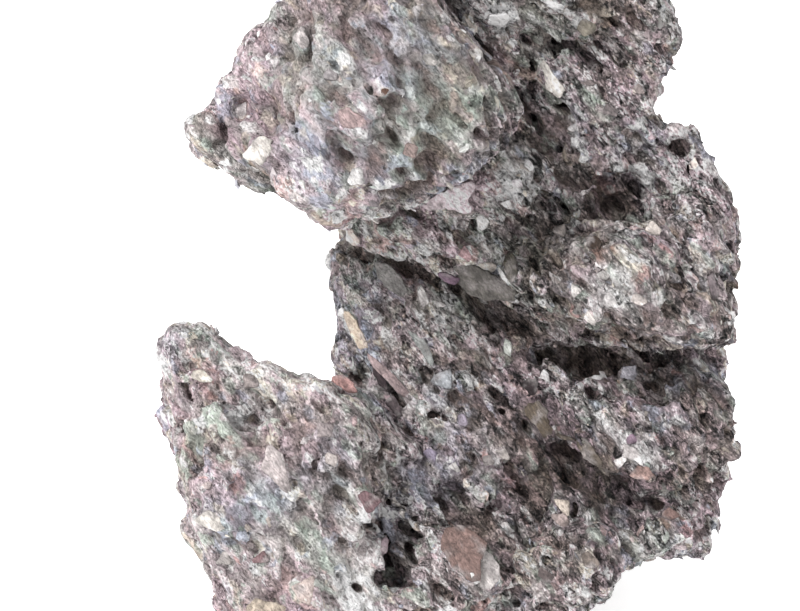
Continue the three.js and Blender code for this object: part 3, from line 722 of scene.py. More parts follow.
fixed = {}
for (u, v), points in OUTLINES.items():
    fixed[(u, v)] = points
for u, v, a, b, turn, tone, thick, proud in CLASTS:
    c = hit(u, v, base, 0.4)
    if c is None:
        continue
    n = slope(c) * 0.8 - ray(u, v) * 0.6
    n /= np.linalg.norm(n)
    ax, ay = image_axes(u, v, turn, n)
    k = np.linalg.norm(c - EYE) / FAR / PX
    full = np.array([1 / max(math.sqrt(1 - (w @ ray(u, v)) ** 2), 0.55) for w in (ax, ay)])
    outline = None
    if (u, v) in fixed:
        th = math.radians(turn)
        d = np.array(fixed[(u, v)], float) - (u, v)
        d[:, 1] *= -1
        outline = np.stack([d[:, 0] * math.cos(th) + d[:, 1] * math.sin(th), -d[:, 0] * math.sin(th) + d[:, 1] * math.cos(th)], 1) * k * full
    radii = np.array([a * k * full[0], b * k * full[1], thick * 0.5])
    lay(c, n, ax, radii, tone, thick, proud, plate_rim(radii, outline, rng))

# The sides, the back and the top carry such fragments too.
named = len(clasts)
shy = on_surface(2600, lambda p: np.full(len(p), 0.5))
shy = shy[rng.permutation(len(shy))]
laid = np.array([c[0] for c in clasts])
count = 0
for c in shy:
    n = slope(c)
    d = c - EYE
    u, v = 400 + (c - EYE) @ EX * FAR * PX / (d @ ED), 305.5 - (c - EYE) @ EU * FAR * PX / (d @ ED)
    if (n @ ED < 0.15 and u < 700 and 5 < v < 605) or c[2] < 6 or n[2] < -0.5:
        continue
    a = 2.2 + 6.0 * rng.random() ** 2.4
    if np.linalg.norm(laid - c, axis=1).min() < a + 4:
        continue
    ax = FL - n * (FL @ n)
    if np.linalg.norm(ax) < 0.3:
        ax = FM - n * (FM @ n)
    ax = ax / np.linalg.norm(ax) + np.cross(n, ax) * rng.normal(0, 0.25)
    ax -= n * (ax @ n)
    ax /= np.linalg.norm(ax)
    radii = np.array([a, a * rng.uniform(0.3, 0.75), 2.0])
    tone = [CREAM, PINK, MAUVE, WHITE, PLUM, BRICK, TAN, GREEN, BLUE, GREY][int(rng.choice(10, p=[0.2, 0.17, 0.13, 0.1, 0.1, 0.06, 0.08, 0.06, 0.05, 0.05]))]
    lay(c, n, ax, radii, (0.75 * tone + 0.25 * GREY) * rng.uniform(0.9, 1.15), 4.0, rng.uniform(0.4, 1.1), plate_rim(radii, None, rng))
    laid = np.vstack([laid, c])
    count += 1
    if count == 95:
        break

# The foot is level.
zs = (np.arange(dims[2]) * H + lo[2]).astype(np.float32)
np.maximum(phi, 0.25 - zs[None, None, :], out=phi)

# Thin spikes are worn down, where they stand out of the smooth form.
np.maximum(phi, np.minimum(blur(phi, 2.3) - 1.5, base + 0.8), out=phi)
phi = blur(phi, 0.55)


def held(top, axes, radii, rim):
    """How much of a fragment's rim is sunk in the surface."""
    th = np.linspace(0, 2 * math.pi, 24, endpoint=False)
    r = rim(th) * 0.9
    p = top + (np.cos(th) * r)[:, None] * axes[0] + (np.sin(th) * r)[:, None] * axes[1] - 1.7 * axes[2]
    return (at(phi, p) < 0).mean()


sunk = np.array([held(top, axes, radii, rim) for top, axes, radii, _, _, rim in clasts])
tick(f"fragments {len(clasts)}, loose {(sunk < 0.7).sum()}, named and loose {(sunk[:named] < 0.4).sum()}")
clasts = [c for i, c in enumerate(clasts) if sunk[i] >= (0.4 if i < named else 0.7)]
verts, quads = surface_nets(phi, lo, H)
verts, quads, _ = biggest(verts, quads)
tick(f"quads {len(quads)}")


def thinned(v, q, want):
    """The same surface in about so many triangles, dropping first those that change it least."""
    me = bpy.data.meshes.new("thinning")
    me.vertices.add(len(v))
    me.vertices.foreach_set("co", v.astype(np.float32).ravel())
    # each quad along its shorter diagonal
    d0 = np.linalg.norm(v[q[:, 0]] - v[q[:, 2]], axis=1)
    d1 = np.linalg.norm(v[q[:, 1]] - v[q[:, 3]], axis=1)
    first = (d0 <= d1)[:, None]
    t = np.concatenate([np.where(first, q[:, [0, 1, 2]], q[:, [0, 1, 3]]), np.where(first, q[:, [0, 2, 3]], q[:, [1, 2, 3]])])
    me.loops.add(t.size)
    me.loops.foreach_set("vertex_index", t.astype(np.int32).ravel())
    me.polygons.add(len(t))
    me.polygons.foreach_set("loop_start", np.arange(0, t.size, 3, dtype=np.int32))
    me.polygons.foreach_set("loop_total", np.full(len(t), 3, np.int32))
    me.update(calc_edges=True)
    o = bpy.data.objects.new("thinning", me)
    bpy.context.scene.collection.objects.link(o)
    m = o.modifiers.new("thin", "DECIMATE")
    m.ratio = min(1.0, want / len(t))
    out = o.evaluated_get(bpy.context.evaluated_depsgraph_get()).to_mesh()
    v = np.zeros(len(out.vertices) * 3, np.float32)
    out.vertices.foreach_get("co", v)
    out.calc_loop_triangles()
    t = np.zeros(len(out.loop_triangles) * 3, np.int32)
    out.loop_triangles.foreach_get("vertices", t)
    bpy.data.objects.remove(o)
    bpy.data.meshes.remove(me)
    return v.reshape(-1, 3), t.reshape(-1, 3)


verts, tris = thinned(verts, quads, 780000)
del quads
verts[:, 2] = np.maximum(verts[:, 2], 0.25)
normals = vertex_normals(verts, tris)
tick(f"triangles {len(tris)}")


# Pale sugary, coloured and dark brown patches of the front, [across px, down px, radius mm, tone, share]. The dark
# brown ones in the recesses, the hollows, under the lip and beside the crown are painted shade, partly brown stain.
TONE_AND_SHADE_PATCHES = []
for u, v, radius, tone, much in [
    (515, 185, 9, WHITE, 0.6), (505, 22, 7, WHITE, 0.6), (573, 135, 5, WHITE, 0.7), (635, 455, 7, WHITE, 0.6),
    (360, 560, 13, WHITE, 0.3), (345, 590, 9, WHITE, 0.3), (608, 300, 9, WHITE, 0.5), (245, 420, 8, WHITE, 0.35),
    (600, 241, 6, lin(110, 66, 42) * 0.8, 0.7), (505, 318, 12, BROWN * 0.7, 0.6), (575, 372, 14, BROWN * 0.7, 0.65),
    (530, 350, 12, BROWN * 0.7, 0.6), (630, 375, 12, BROWN * 0.8, 0.4), (680, 365, 10, BROWN, 0.4),
    (560, 462, 14, BROWN * 0.6, 0.7), (615, 495, 12, BROWN * 0.7, 0.6), (525, 430, 11, BROWN * 0.8, 0.5), (590, 480, 13, BROWN * 0.7, 0.6),
    (395, 565, 7, BROWN * 0.6, 0.7), (398, 262, 8, BROWN * 0.6, 0.6), (420, 360, 12, PLUM * 1.2, 0.35), (470, 290, 9, GREEN * 0.9, 0.5),
    (385, 285, 9, MAUVE * 0.9, 0.5), (372, 268, 6, GREEN, 0.5), (440, 390, 9, BLUE, 0.35), (480, 530, 9, BROWN * 0.7, 0.6),
    (622, 204, 9, BROWN * 0.6, 0.7), (632, 188, 5, BROWN * 0.6, 0.6), (450, 470, 14, PLUM * 1.3, 0.3), (555, 130, 8, BROWN * 0.8, 0.5), (640, 60, 14, BROWN * 1.3, 0.35),
    (600, 20, 14, BROWN * 1.3, 0.3), (350, 240, 9, BROWN * 0.8, 0.4), (500, 60, 9, BROWN * 0.8, 0.4),
    (310, 60, 20, GREEN, 0.4), (400, 50, 18, BLUE, 0.35), (440, 120, 18, GREEN, 0.4), (320, 150, 15, BLUE, 0.3), (280, 30, 12, MAUVE, 0.3),
    (220, 420, 15, GREEN, 0.18), (290, 520, 16, GREEN, 0.18), (250, 500, 12, BLUE, 0.3), (300, 450, 12, MAUVE, 0.35), (420, 480, 12, BLUE * 0.9, 0.35),
]:
    c0 = hit(u, v, base)
    if c0 is not None:
        TONE_AND_SHADE_PATCHES.append((c0.astype(np.float32), radius, tone, much))


# Broad paler and darker zones of the front, [across px, down px, radius mm, how much]: partly the rock's own tone,
# partly painted light and shade.
LIGHT_SHADE_AND_TONE_GAINS = []
for u, v, radius, much in [
    (330, 60, 30, 0.02), (450, 60, 22, 0.06), (330, 150, 24, 0.04), (440, 150, 22, -0.06), (250, 130, 18, 0.0),
    (215, 385, 20, 0.3), (260, 450, 28, 0.1), (250, 550, 30, 0.1), (345, 560, 20, 0.1), (330, 430, 18, 0.12),
    (440, 250, 20, 0.34), (370, 310, 20, 0.11), (430, 340, 20, 0.0), (672, 175, 18, 0.42), (585, 100, 26, 0.12),
    (600, 375, 16, 0.45), (585, 88, 14, -0.15), (508, 38, 12, 0.25), (540, 340, 12, 0.25), (430, 430, 20, 0.04), (460, 540, 18, 0.14), (640, 540, 22, 0.06), (540, 560, 20, 0.06),
    (620, 440, 22, -0.4), (560, 370, 20, 0.0), (560, 480, 20, -0.26), (650, 490, 16, -0.15), (622, 203, 9, -0.3), (620, 280, 18, -0.3), (500, 330, 14, -0.02),
]:
    c0 = hit(u, v, base)
    if c0 is not None:
        LIGHT_SHADE_AND_TONE_GAINS.append((c0.astype(np.float32), radius, much))


# Where the surface is worn and its grain shows less, [across px, down px, radius mm, how much].
WORN = []
for u, v, radius, much in [
    (330, 60, 34, 0.5), (440, 110, 30, 0.5), (250, 130, 20, 0.4), (230, 420, 34, 0.35), (260, 540, 36, 0.35), (330, 580, 22, 0.2), (620, 290, 18, 0.35),
]:
    c0 = hit(u, v, base)
    if c0 is not None:
        WORN.append((c0.astype(np.float32), radius, much))


def crispness(v):
    worn = np.zeros(len(v), np.float32)
    for c0, radius, much in WORN:
        worn += much * np.exp(-0.7 * ((v - c0) ** 2).sum(1) / radius**2)
    right = np.clip(((v - T) @ EX + 10) / 40, 0, 1)
    return np.clip((0.8 + 0.2 * right) * (1 - worn), 0.15, 1)


def matrix_colour(v, tell=False):
    n, big, small = relief(v)
    t = 0.5 + 0.9 * fbm(v, 30, 3, 200)
    g = 0.5 + 0.9 * fbm(stretch(v), 14, 3, 210)
    col = GREY + (MAUVE - GREY) * np.clip(t, 0, 1)[:, None]
    col = col + (GREEN - col) * np.clip(g * 1.6 - 0.9, 0, 0.8)[:, None]
    k = 0.5 + 0.9 * fbm(v, 18, 2, 220)
    col = col + (BLUE - col) * np.clip(k * 1.8 - 1.3, 0, 0.7)[:, None]
    k = 0.5 + 0.9 * fbm(v, 22, 2, 230)
    col = col + (BROWN * 1.6 - col) * np.clip(k * 2 - 1.5, 0, 0.6)[:, None]
    # fragments wear their own colour
    show = sub(big, 8) < 0.42
    solid = np.where(show, 1.0, 0.0)
    c = PALETTE[pick(sub(big, 9), BIG_WEIGHTS)] * (0.85 + 0.3 * sub(big, 10))[:, None]
    col = np.where(show[:, None], col * 0.45 + c * 0.55, col)
    show = sub(small, 8) < 0.45
    c = PALETTE[pick(sub(small, 9), CHIP_WEIGHTS)] * (0.8 + 0.35 * sub(small, 10))[:, None]
    col = np.where(show[:, None], col * 0.5 + c * 0.5, col)
    col = col * (0.86 + 0.22 * fbm(v, 45, 2, 250))[:, None]
    who = at(lump, v)
    solid = np.maximum(solid, np.where(who > 0, 0.8, 0.0))
    col = np.where((who > 0)[:, None], lump_tone[who] * 0.8 + col * 0.2, col)
    # coloured and stained patches; the dark brown ones are painted shade in the recesses, partly stain
    for c0, radius, tone, much in TONE_AND_SHADE_PATCHES:
        near = np.linalg.norm(v - c0, axis=1) / radius
        got = near < 2
        w = much * np.clip(1.5 - 1.5 * near[got] + 1.1 * fbm(stretch(v[got]), 3.2, 2, 260), 0, 1)
        col[got] += (tone - col[got]) * w[:, None]
    # broad paler and darker zones of the front: partly the rock's own tone, partly painted light and shade
    gain = np.zeros(len(v), np.float32)
    for c0, radius, much in LIGHT_SHADE_AND_TONE_GAINS:
        near = ((v - c0) ** 2).sum(1) / radius**2
        gain += much * np.exp(-0.7 * near)
    col = col * np.exp(gain)[:, None]
    # painted shade and brown grime in the pits below the smooth form, rubbed paleness on what stands out
    out = at(base, v)
    pit_shade_and_grime = np.clip((-out - 1.2) / 3.0, 0, 1)
    col = col + (BROWN * 1.35 - col) * (0.68 * pit_shade_and_grime)[:, None]
    col = col * (1 + 0.16 * np.clip(out + 0.4, 0, 1.6))[:, None]
    # painted shade: darker where the surface is enclosed
    enclosure_shade = np.clip((at(wide, v, H * STEP) - 0.58) / 0.24, 0, 1)
    col = col * (1 - 0.25 * enclosure_shade)[:, None]
    col = np.clip(col * 1.06, 0, 0.64) * TONE
    return (col, solid) if tell else col




# ---------------------------------------------------------------- meshes
def make_mesh(name, v, faces, colour, nrm=None, smooth=True, gloss=None, uv=None):
    me = bpy.data.meshes.new(name)
    k = faces.shape[1]
    me.vertices.add(len(v))
    me.vertices.foreach_set("co", (v * 0.001).astype(np.float32).ravel())
    me.loops.add(faces.size)
    me.loops.foreach_set("vertex_index", faces.astype(np.int32).ravel())
    me.polygons.add(len(faces))
    me.polygons.foreach_set("loop_start", np.arange(0, faces.size, k, dtype=np.int32))
    me.polygons.foreach_set("loop_total", np.full(len(faces), k, np.int32))
    me.update(calc_edges=True)
    me.polygons.foreach_set("use_smooth", np.full(len(faces), smooth))
    a = me.color_attributes.new("tint", "FLOAT_COLOR", "POINT")
    rgba = np.ones((len(v), 4), np.float32)
    rgba[:, :3] = colour
    if gloss is not None:
        rgba[:, 3] = gloss
    a.data.foreach_set("color", rgba.ravel())
    if uv is not None:
        layer = me.uv_layers.new(name="OFBake")
        layer.uv.foreach_set("vector", uv.astype(np.float32).ravel())
    if nrm is not None:
        me.normals_split_custom_set_from_vertices(nrm.astype(np.float32))
    me.validate()
    o = bpy.data.objects.new(name, me)
    bpy.context.scene.collection.objects.link(o)
    return o


def connected(count, e):
    lab = np.arange(count)
    while True:
        m = np.minimum(lab[e[:, 0]], lab[e[:, 1]])
        new = lab.copy()
        np.minimum.at(new, lab[e[:, 0]], m)
        np.minimum.at(new, lab[e[:, 1]], m)
        new = new[new]
        new = new[new]
        if (new == lab).all():
            return np.unique(lab, return_inverse=True)[1]
        lab = new


def laid_out(v, q):
    """A map for a piece of the surface: patches that face one way, flattened and packed in the unit square."""
    middle = v[q].mean(1)
    n = slope(middle)
    frame3 = np.stack([EX, ED, EU])
    d = n @ frame3.T
    way = np.abs(d).argmax(1)
    side = way * 2 + (d[np.arange(len(d)), way] > 0)
    e = np.sort(np.concatenate([q[:, [0, 1]], q[:, [1, 2]], q[:, [2, 0]]]), 1)
    face = np.tile(np.arange(len(q)), 3)
    key = e[:, 0].astype(np.int64) * len(v) + e[:, 1]
    o = np.argsort(key, kind="stable")
    same = key[o][1:] == key[o][:-1]
    pair = np.stack([face[o][:-1][same], face[o][1:][same]], 1)
    pair = pair[side[pair[:, 0]] == side[pair[:, 1]]]
    patch = connected(len(q), pair)
    a = np.array([[1, 2], [0, 2], [0, 1]])[way]
    flat = v @ frame3.T
    uv = np.stack([flat[q, a[:, :1]], flat[q, a[:, 1:]]], -1)  # face, corner, 2
    m = patch.max() + 1
    low = np.full((m, 2), 1e9)
    high = np.full((m, 2), -1e9)
    for k in range(3):
        np.minimum.at(low, patch, uv[:, k])
        np.maximum.at(high, patch, uv[:, k])
    size = high - low
    order = np.argsort(-size[:, 1])
    small, big = 0.0005, 0.1  # unit squares to the millimetre
    best = None
    for _ in range(18):
        s = math.sqrt(small * big)
        gap = 2.5 / 1024
        x = y = gap
        row = 0.0
        place = np.zeros((m, 2))
        fits = True
        for i in order:
            w, h = size[i] * s
            if x + w + gap > 1:
                x, y, row = gap, y + row + gap, 0.0
            if y + h + gap > 1 or w + 2 * gap > 1:
                fits = False
                break
            place[i] = x, y
            x += w + gap
            row = max(row, h)
        if fits:
            small, best = s, (s, place)
        else:
            big = s
    s, place = best
    tick(f"patches {m}, {1 / s / 1024:.2f} mm to the pixel")
    return ((uv - low[patch][:, None]) * s + place[patch][:, None]).reshape(-1, 2)


PARTS = 6
pieces = []
tint, solid = matrix_colour(verts, True)
crisp = crispness(verts) * (1 - 0.5 * solid)
tick("colours")
order = np.argsort((verts[tris].mean(1) - T) @ EU)
for part in range(PARTS):
    f = tris[order[len(order) * part // PARTS : len(order) * (part + 1) // PARTS]]
    used = np.unique(f)
    num = np.zeros(len(verts), np.int64)
    num[used] = np.arange(len(used))
    v, f = verts[used], num[f]
    pieces.append(make_mesh(f"stone_{part + 1}", v, f, tint[used], nrm=normals[used], gloss=crisp[used], uv=laid_out(v, f)))
tick("stone pieces")


def hull(points):
    import bmesh

    bm = bmesh.new()
    for p in points:
        bm.verts.new(p)
    got = bmesh.ops.convex_hull(bm, input=bm.verts)
    loose = [g for g in got["geom_interior"] + got["geom_unused"] if isinstance(g, bmesh.types.BMVert)]
    bmesh.ops.delete(bm, geom=list(set(loose)), context="VERTS")
    bmesh.ops.triangulate(bm, faces=bm.faces)
    bmesh.ops.recalc_face_normals(bm, faces=bm.faces)
    bm.verts.index_update()
    v = np.array([x.co[:] for x in bm.verts], np.float32)
    f = np.array([[x.index for x in face.verts] for face in bm.faces], np.int64)
    bm.free()
    return v, f


def template(count, r):
    p = r.normal(size=(count, 3))
    p /= np.linalg.norm(p, axis=1, keepdims=True)
    # spread the points so that the hull is full
    for _ in range(12):
        d = p[:, None] - p[None]
        m = (d * d).sum(-1) + np.eye(count)
        p = p + 0.05 * (d / m[..., None] ** 1.5).sum(1)
        p /= np.linalg.norm(p, axis=1, keepdims=True)
    p *= r.uniform(0.75, 1.05, (count, 1))
    return hull(p)


# Chips and crystals: small broken fragments set in the surface.
TEMPLATES = [template(int(rng.integers(8, 12)), rng) for _ in range(40)]
corner = verts[tris]
area = np.linalg.norm(np.cross(corner[:, 1] - corner[:, 0], corner[:, 2] - corner[:, 0]), axis=1)
qn = normals[tris[:, 0]]
qc = corner.mean(1)
weight = area * (qc[:, 2] > 2.0) * np.clip(1.0 + at(base, qc) * 0.4, 0.1, 1.6)
CHIPS, CRYSTALS = 2600, 2900
total = CHIPS + CRYSTALS
chosen = rng.choice(len(tris), total, p=weight / weight.sum())
small = np.arange(total) >= CHIPS
size = np.where(small, 0.32 + 0.75 * rng.random(total) ** 2.5, 0.9 + 1.3 * rng.random(total) ** 2)
where = qc[chosen] - qn[chosen] * (size * np.where(small, rng.uniform(0.0, 0.4, total), rng.uniform(0.3, 0.7, total)))[:, None]
CRYSTAL_WEIGHTS = np.array([16, 12, 9, 9, 12, 14, 18, 4, 1, 4, 0.4, 6], float)
idx = np.where(small, pick(rng.random(total), CRYSTAL_WEIGHTS), pick(rng.random(total), CHIP_WEIGHTS))
chip_col = PALETTE[idx] * rng.uniform(0.8, 1.12, (total, 1))
# each chip takes on the colour of the surface around it, with that surface's painted light and shade
under = matrix_colour(where.astype(np.float32))
local = np.clip(under.mean(1) / (GREY.mean() * TONE), 0.3, 1.35)[:, None]
chip_col = np.where(small[:, None], 0.65 * chip_col * TONE * local + 0.35 * under, 0.5 * chip_col * TONE * local + 0.5 * under)
gloss = np.where(rng.random(total) < np.where(small, 0.25, 0.06), 0.0, 1.0)
seated = at(phi, where) < 0

for name, who in (("chips", np.nonzero(~small & seated)[0]), ("crystals", np.nonzero(small & seated)[0])):
    V, F, C, G, W = [], [], [], [], []
    count = 0
    side = math.ceil(math.sqrt(len(who)))
    for k, i in enumerate(who):
        tv, tf = TEMPLATES[i % len(TEMPLATES)]
        sliver = rng.random() < 0.3
        axes = turned(0.2 if sliver else 0.4)
        if np.linalg.det(axes) < 0:
            axes[2] = -axes[2]
        # lying in the surface
        n = qn[chosen[i]]
        a0 = axes[0] - n * (axes[0] @ n) * 0.9
        a0 /= np.linalg.norm(a0)
        a2 = axes[2] + n * (1.0 if axes[2] @ n > 0 else -1.0)
        a2 -= a0 * (a2 @ a0)
        a2 /= np.linalg.norm(a2)
        axes = np.stack([a0, np.cross(a2, a0), a2])
        scale = size[i] * (np.array([2.1, 0.6, 0.4]) if sliver else np.array([1.2 + 0.7 * rng.random(), 1.0, 0.65]))
        V.append((tv * scale) @ axes + where[i])
        F.append(tf + count)
        C.append(np.repeat(chip_col[i][None], len(tv), 0))
        G.append(np.full(len(tv), gloss[i]))
        W.append(((tv[tf][..., :2] * 0.36 + 0.5 + (k % side, k // side)) / side).reshape(-1, 2))
        count += len(tv)
    V, F, C, G, W = map(np.concatenate, (V, F, C, G, W))
    V[:, 2] = np.maximum(V[:, 2], 0.3)
    tick(f"{name} {len(F)}")
    pieces.append(make_mesh(name, V, F, C, smooth=False, gloss=G, uv=W))


# Larger fragments: flat angular plates, broken along the rim, with a few facets on top.
RINGS = [(0.3, 0.0), (0.55, 0.0), (0.74, 0.0), (0.87, 0.02), (0.96, 0.08), (1.0, 0.3), (0.97, 1.2), (0.8, None)]


def plate(radii, thick, rim):
    segs = int(np.clip(2 * math.pi * math.sqrt(radii[0] * radii[1]) / 0.6, 18, 64))
    th = 2 * math.pi * np.arange(segs) / segs
    d = np.stack([np.cos(th), np.sin(th)], 1)
    shift = rng.uniform(0, 90, 3)
    r = rim(th)
    edge = np.concatenate([d * r[:, None], np.zeros((segs, 1))], 1) + shift
    r = r + min(1.0, radii[1] / 2.5) * (0.6 * fbm(edge.astype(np.float32), 3.4, 2, 400) + 0.35 * fbm(edge.astype(np.float32), 1.2, 1, 401))
    r = np.maximum(r, 0.3)
    facets = []
    for _ in range(4):
        a = rng.uniform(0, 2 * math.pi)
        facets.append((np.array([math.cos(a), math.sin(a)]), rng.uniform(0.05, 0.6), rng.uniform(0.08, 0.4) * min(1.0, 4.0 / radii[0])))
    v = [np.zeros((1, 2))] + [d * (r * s)[:, None] for s, _ in RINGS] + [np.zeros((1, 2))]
    z = [np.zeros(1)] + [np.full(segs, -(thick if low is None else low)) for _, low in RINGS] + [np.full(1, -thick)]
    v, z = np.concatenate(v), np.concatenate(z)
    for n, start, steep in facets:
        z = z - steep * np.maximum(0, v @ n - start * math.hypot(*(radii[:2] * n)))
    p = np.column_stack([v, z])
    p[:, 2] += 0.5 * fbm((p + shift).astype(np.float32), 3.0, 3, 410)
    rings = len(RINGS)
    i = np.arange(segs)
    j = (i + 1) % segs
    f = [np.stack([np.zeros(segs, int), 1 + i, 1 + j], 1)]
    for k in range(rings - 1):
        a, b = 1 + k * segs, 1 + (k + 1) * segs
        f += [np.stack([a + i, b + i, b + j], 1), np.stack([a + i, b + j, a + j], 1)]
    last = 1 + (rings - 1) * segs
    f.append(np.stack([np.full(segs, last + segs), last + j, last + i], 1))
    f = np.concatenate(f)
    reach = np.concatenate([[0.0]] + [np.full(segs, x) for x in np.linspace(0.28, 1.0, rings)] + [[1.0]])
    uv = np.concatenate([[[0, 0]]] + [d] * rings + [[[0, 0]]]) * reach[:, None] * 0.44
    loops = uv[f]
    loops[-segs:] = np.array([0.48, 0.48]) + loops[-segs:] * 0.02
    return p, f, loops, shift


V, F, C, W = [], [], [], []
count = 0
side = math.ceil(math.sqrt(len(clasts)))
for k, (top, axes, radii, tone, thick, rim) in enumerate(clasts):
    p, f, loops, shift = plate(radii, thick, rim)
    q = (p + shift).astype(np.float32)
    grain = fbm(q, 1.6, 3, 420)
    band = fbm(q * np.array([0.3, 1.0, 1.0], np.float32), 2.4, 2, 430)
    out = np.hypot(p[:, 0], p[:, 1]) / np.maximum(rim(np.arctan2(p[:, 1], p[:, 0])), 0.1)
    dust = np.clip(1.5 * fbm(q, 3.4, 3, 440) - 0.15 + 0.55 * np.clip(out - 0.75, 0, 1), 0, 0.75)
    # each plate is darker the further below its top
    low = np.clip(-p[:, 2] / 1.4, 0, 1)
    col = tone[None] * (1.0 + 0.35 * grain + 0.22 * band)[:, None]
    col = col + (GREY * 0.8 - col) * dust[:, None]
    col = col * (1 - 0.45 * low)[:, None]
    V.append(p @ axes + top)
    F.append(f + count)
    C.append(col * TONE)
    W.append(((loops + 0.5 + (k % side, k // side)) / side).reshape(-1, 2))
    count += len(p)
V, F, C, W = map(np.concatenate, (V, F, C, W))
V[:, 2] = np.maximum(V[:, 2], 0.3)
clast_piece = make_mesh("clasts", V, F, np.clip(C, 0, 0.9), smooth=True, gloss=np.full(len(V), 0.9), uv=W)
tick(f"clasts {len(clasts)}, {len(F)} triangles")


# ---------------------------------------------------------------- material
def build_material(name, grain, pit_slit_shade_and_dent, bumpy, glinting):
    mat = bpy.data.materials.new(name)
    mat.use_nodes = True
    nt = mat.node_tree
    nt.nodes.clear()
    N, L = nt.nodes.new, nt.links.new

    def node(kind, **kw):
        n = N(kind)
        for k, v in kw.items():
            setattr(n, k, v)
        return n

    def math_(op, a, b=None, clamp=False):
        n = node("ShaderNodeMath", operation=op, use_clamp=clamp)
        for i, x in enumerate((a, b)):
            if x is None:
                continue
            if hasattr(x, "is_output"):
                L(x, n.inputs[i])
            else:
                n.inputs[i].default_value = x
        return n.outputs[0]

    def ramp(x, a, b, to0=0.0, to1=1.0):
        n = node("ShaderNodeMapRange", clamp=True)
        L(x, n.inputs["Value"])
        n.inputs["From Min"].default_value = a
        n.inputs["From Max"].default_value = b
        n.inputs["To Min"].default_value = to0
        n.inputs["To Max"].default_value = to1
        return n.outputs["Result"]

    def noise_tex(vector, scale, detail, rough=0.6, distortion=0.0):
        n = node("ShaderNodeTexNoise", noise_dimensions="3D")
        L(vector, n.inputs["Vector"])
        n.inputs["Scale"].default_value = scale
        n.inputs["Detail"].default_value = detail
        n.inputs["Roughness"].default_value = rough
        n.inputs["Distortion"].default_value = distortion
        return n

    def grains(vector, scale):
        n = node("ShaderNodeTexVoronoi", feature="F1")
        L(vector, n.inputs["Vector"])
        n.inputs["Scale"].default_value = scale
        s = node("ShaderNodeSeparateColor")
        L(n.outputs["Color"], s.inputs[0])
        return s.outputs[0], s.outputs[1], n.outputs["Distance"], n.outputs["Color"]

    def leaned(normal, colour, much):
        """The normal leaning another way in each grain."""
        a = node("ShaderNodeVectorMath", operation="SUBTRACT")
        L(colour, a.inputs[0])
        a.inputs[1].default_value = (0.5, 0.5, 0.5)
        b = node("ShaderNodeVectorMath", operation="SCALE")
        L(a.outputs[0], b.inputs[0])
        L(much, b.inputs["Scale"])
        c = node("ShaderNodeVectorMath", operation="ADD")
        L(normal, c.inputs[0])
        L(b.outputs[0], c.inputs[1])
        d = node("ShaderNodeVectorMath", operation="NORMALIZE")
        L(c.outputs[0], d.inputs[0])
        return d.outputs[0]

    def blend(share, a, b):
        n = node("ShaderNodeMix", data_type="RGBA")
        L(share, n.inputs[0])
        L(a, n.inputs[6])
        n.inputs[7].default_value = b
        return n.outputs[2]

    tc = node("ShaderNodeTexCoord")

    def fabric(along, over, across):
        """Coordinates in mm, drawn out along the fabric's axes."""
        comb = node("ShaderNodeCombineXYZ")
        for i, (axis, by) in enumerate(((FL, along), (FM, over), (FN, across))):
            dp = node("ShaderNodeVectorMath", operation="DOT_PRODUCT")
            L(tc.outputs["Object"], dp.inputs[0])
            dp.inputs[1].default_value = tuple(axis * 1000.0 / by)
            L(dp.outputs["Value"], comb.inputs[i])
        return comb.outputs[0]

    q = fabric(1.4, 1.05, 0.8)

    fine = noise_tex(q, 1.0, 4, 0.62)
    mottle = noise_tex(fabric(1.7, 1.2, 0.8), 0.3, 2, 0.6)
    warp = node("ShaderNodeVectorMath", operation="MULTIPLY_ADD")
    L(fine.outputs["Color"], warp.inputs[0])
    warp.inputs[1].default_value = (0.5, 0.5, 0.5)
    L(q, warp.inputs[2])
    wq = warp.outputs[0]
    a1, a2, ad, a_way = grains(wq, 0.7)
    b1, b2, bd, b_way = grains(wq, 1.6)
    c1, c2, cd, c_way = grains(wq, 0.34)
    # painted shade: dark outlines between the grains, also dented in the bump
    rims = node("ShaderNodeTexVoronoi", feature="DISTANCE_TO_EDGE")
    L(wq, rims.inputs["Vector"])
    rims.inputs["Scale"].default_value = 0.34
    seam_shade = ramp(rims.outputs["Distance"], 0.0, 0.09, 1.0, 0.0)
    seam_shade = math_("MULTIPLY", seam_shade, ramp(mottle.outputs["Fac"], 0.54, 0.44))
    # painted shade: darker where the fine relief is low
    cave_shade = ramp(fine.outputs["Fac"], 0.47, 0.36)
    gate = noise_tex(q, 0.15, 2)
    # painted shade in small pores: dark spots, also dented in the bump
    pit_shade_and_grime = ramp(ad, 0.14, 0.34, 1.0, 0.0)
    pit_shade_and_grime = math_("MULTIPLY", pit_shade_and_grime, ramp(a2, 0.45, 0.5))
    pit_shade_and_grime = math_("MULTIPLY", pit_shade_and_grime, ramp(gate.outputs["Fac"], 0.4, 0.55))

    attr = node("ShaderNodeAttribute", attribute_name="tint")
    crisp = attr.outputs["Alpha"]
    streak = noise_tex(fabric(3.4, 1.6, 0.65), 0.9, 3, 0.6, 0.3)
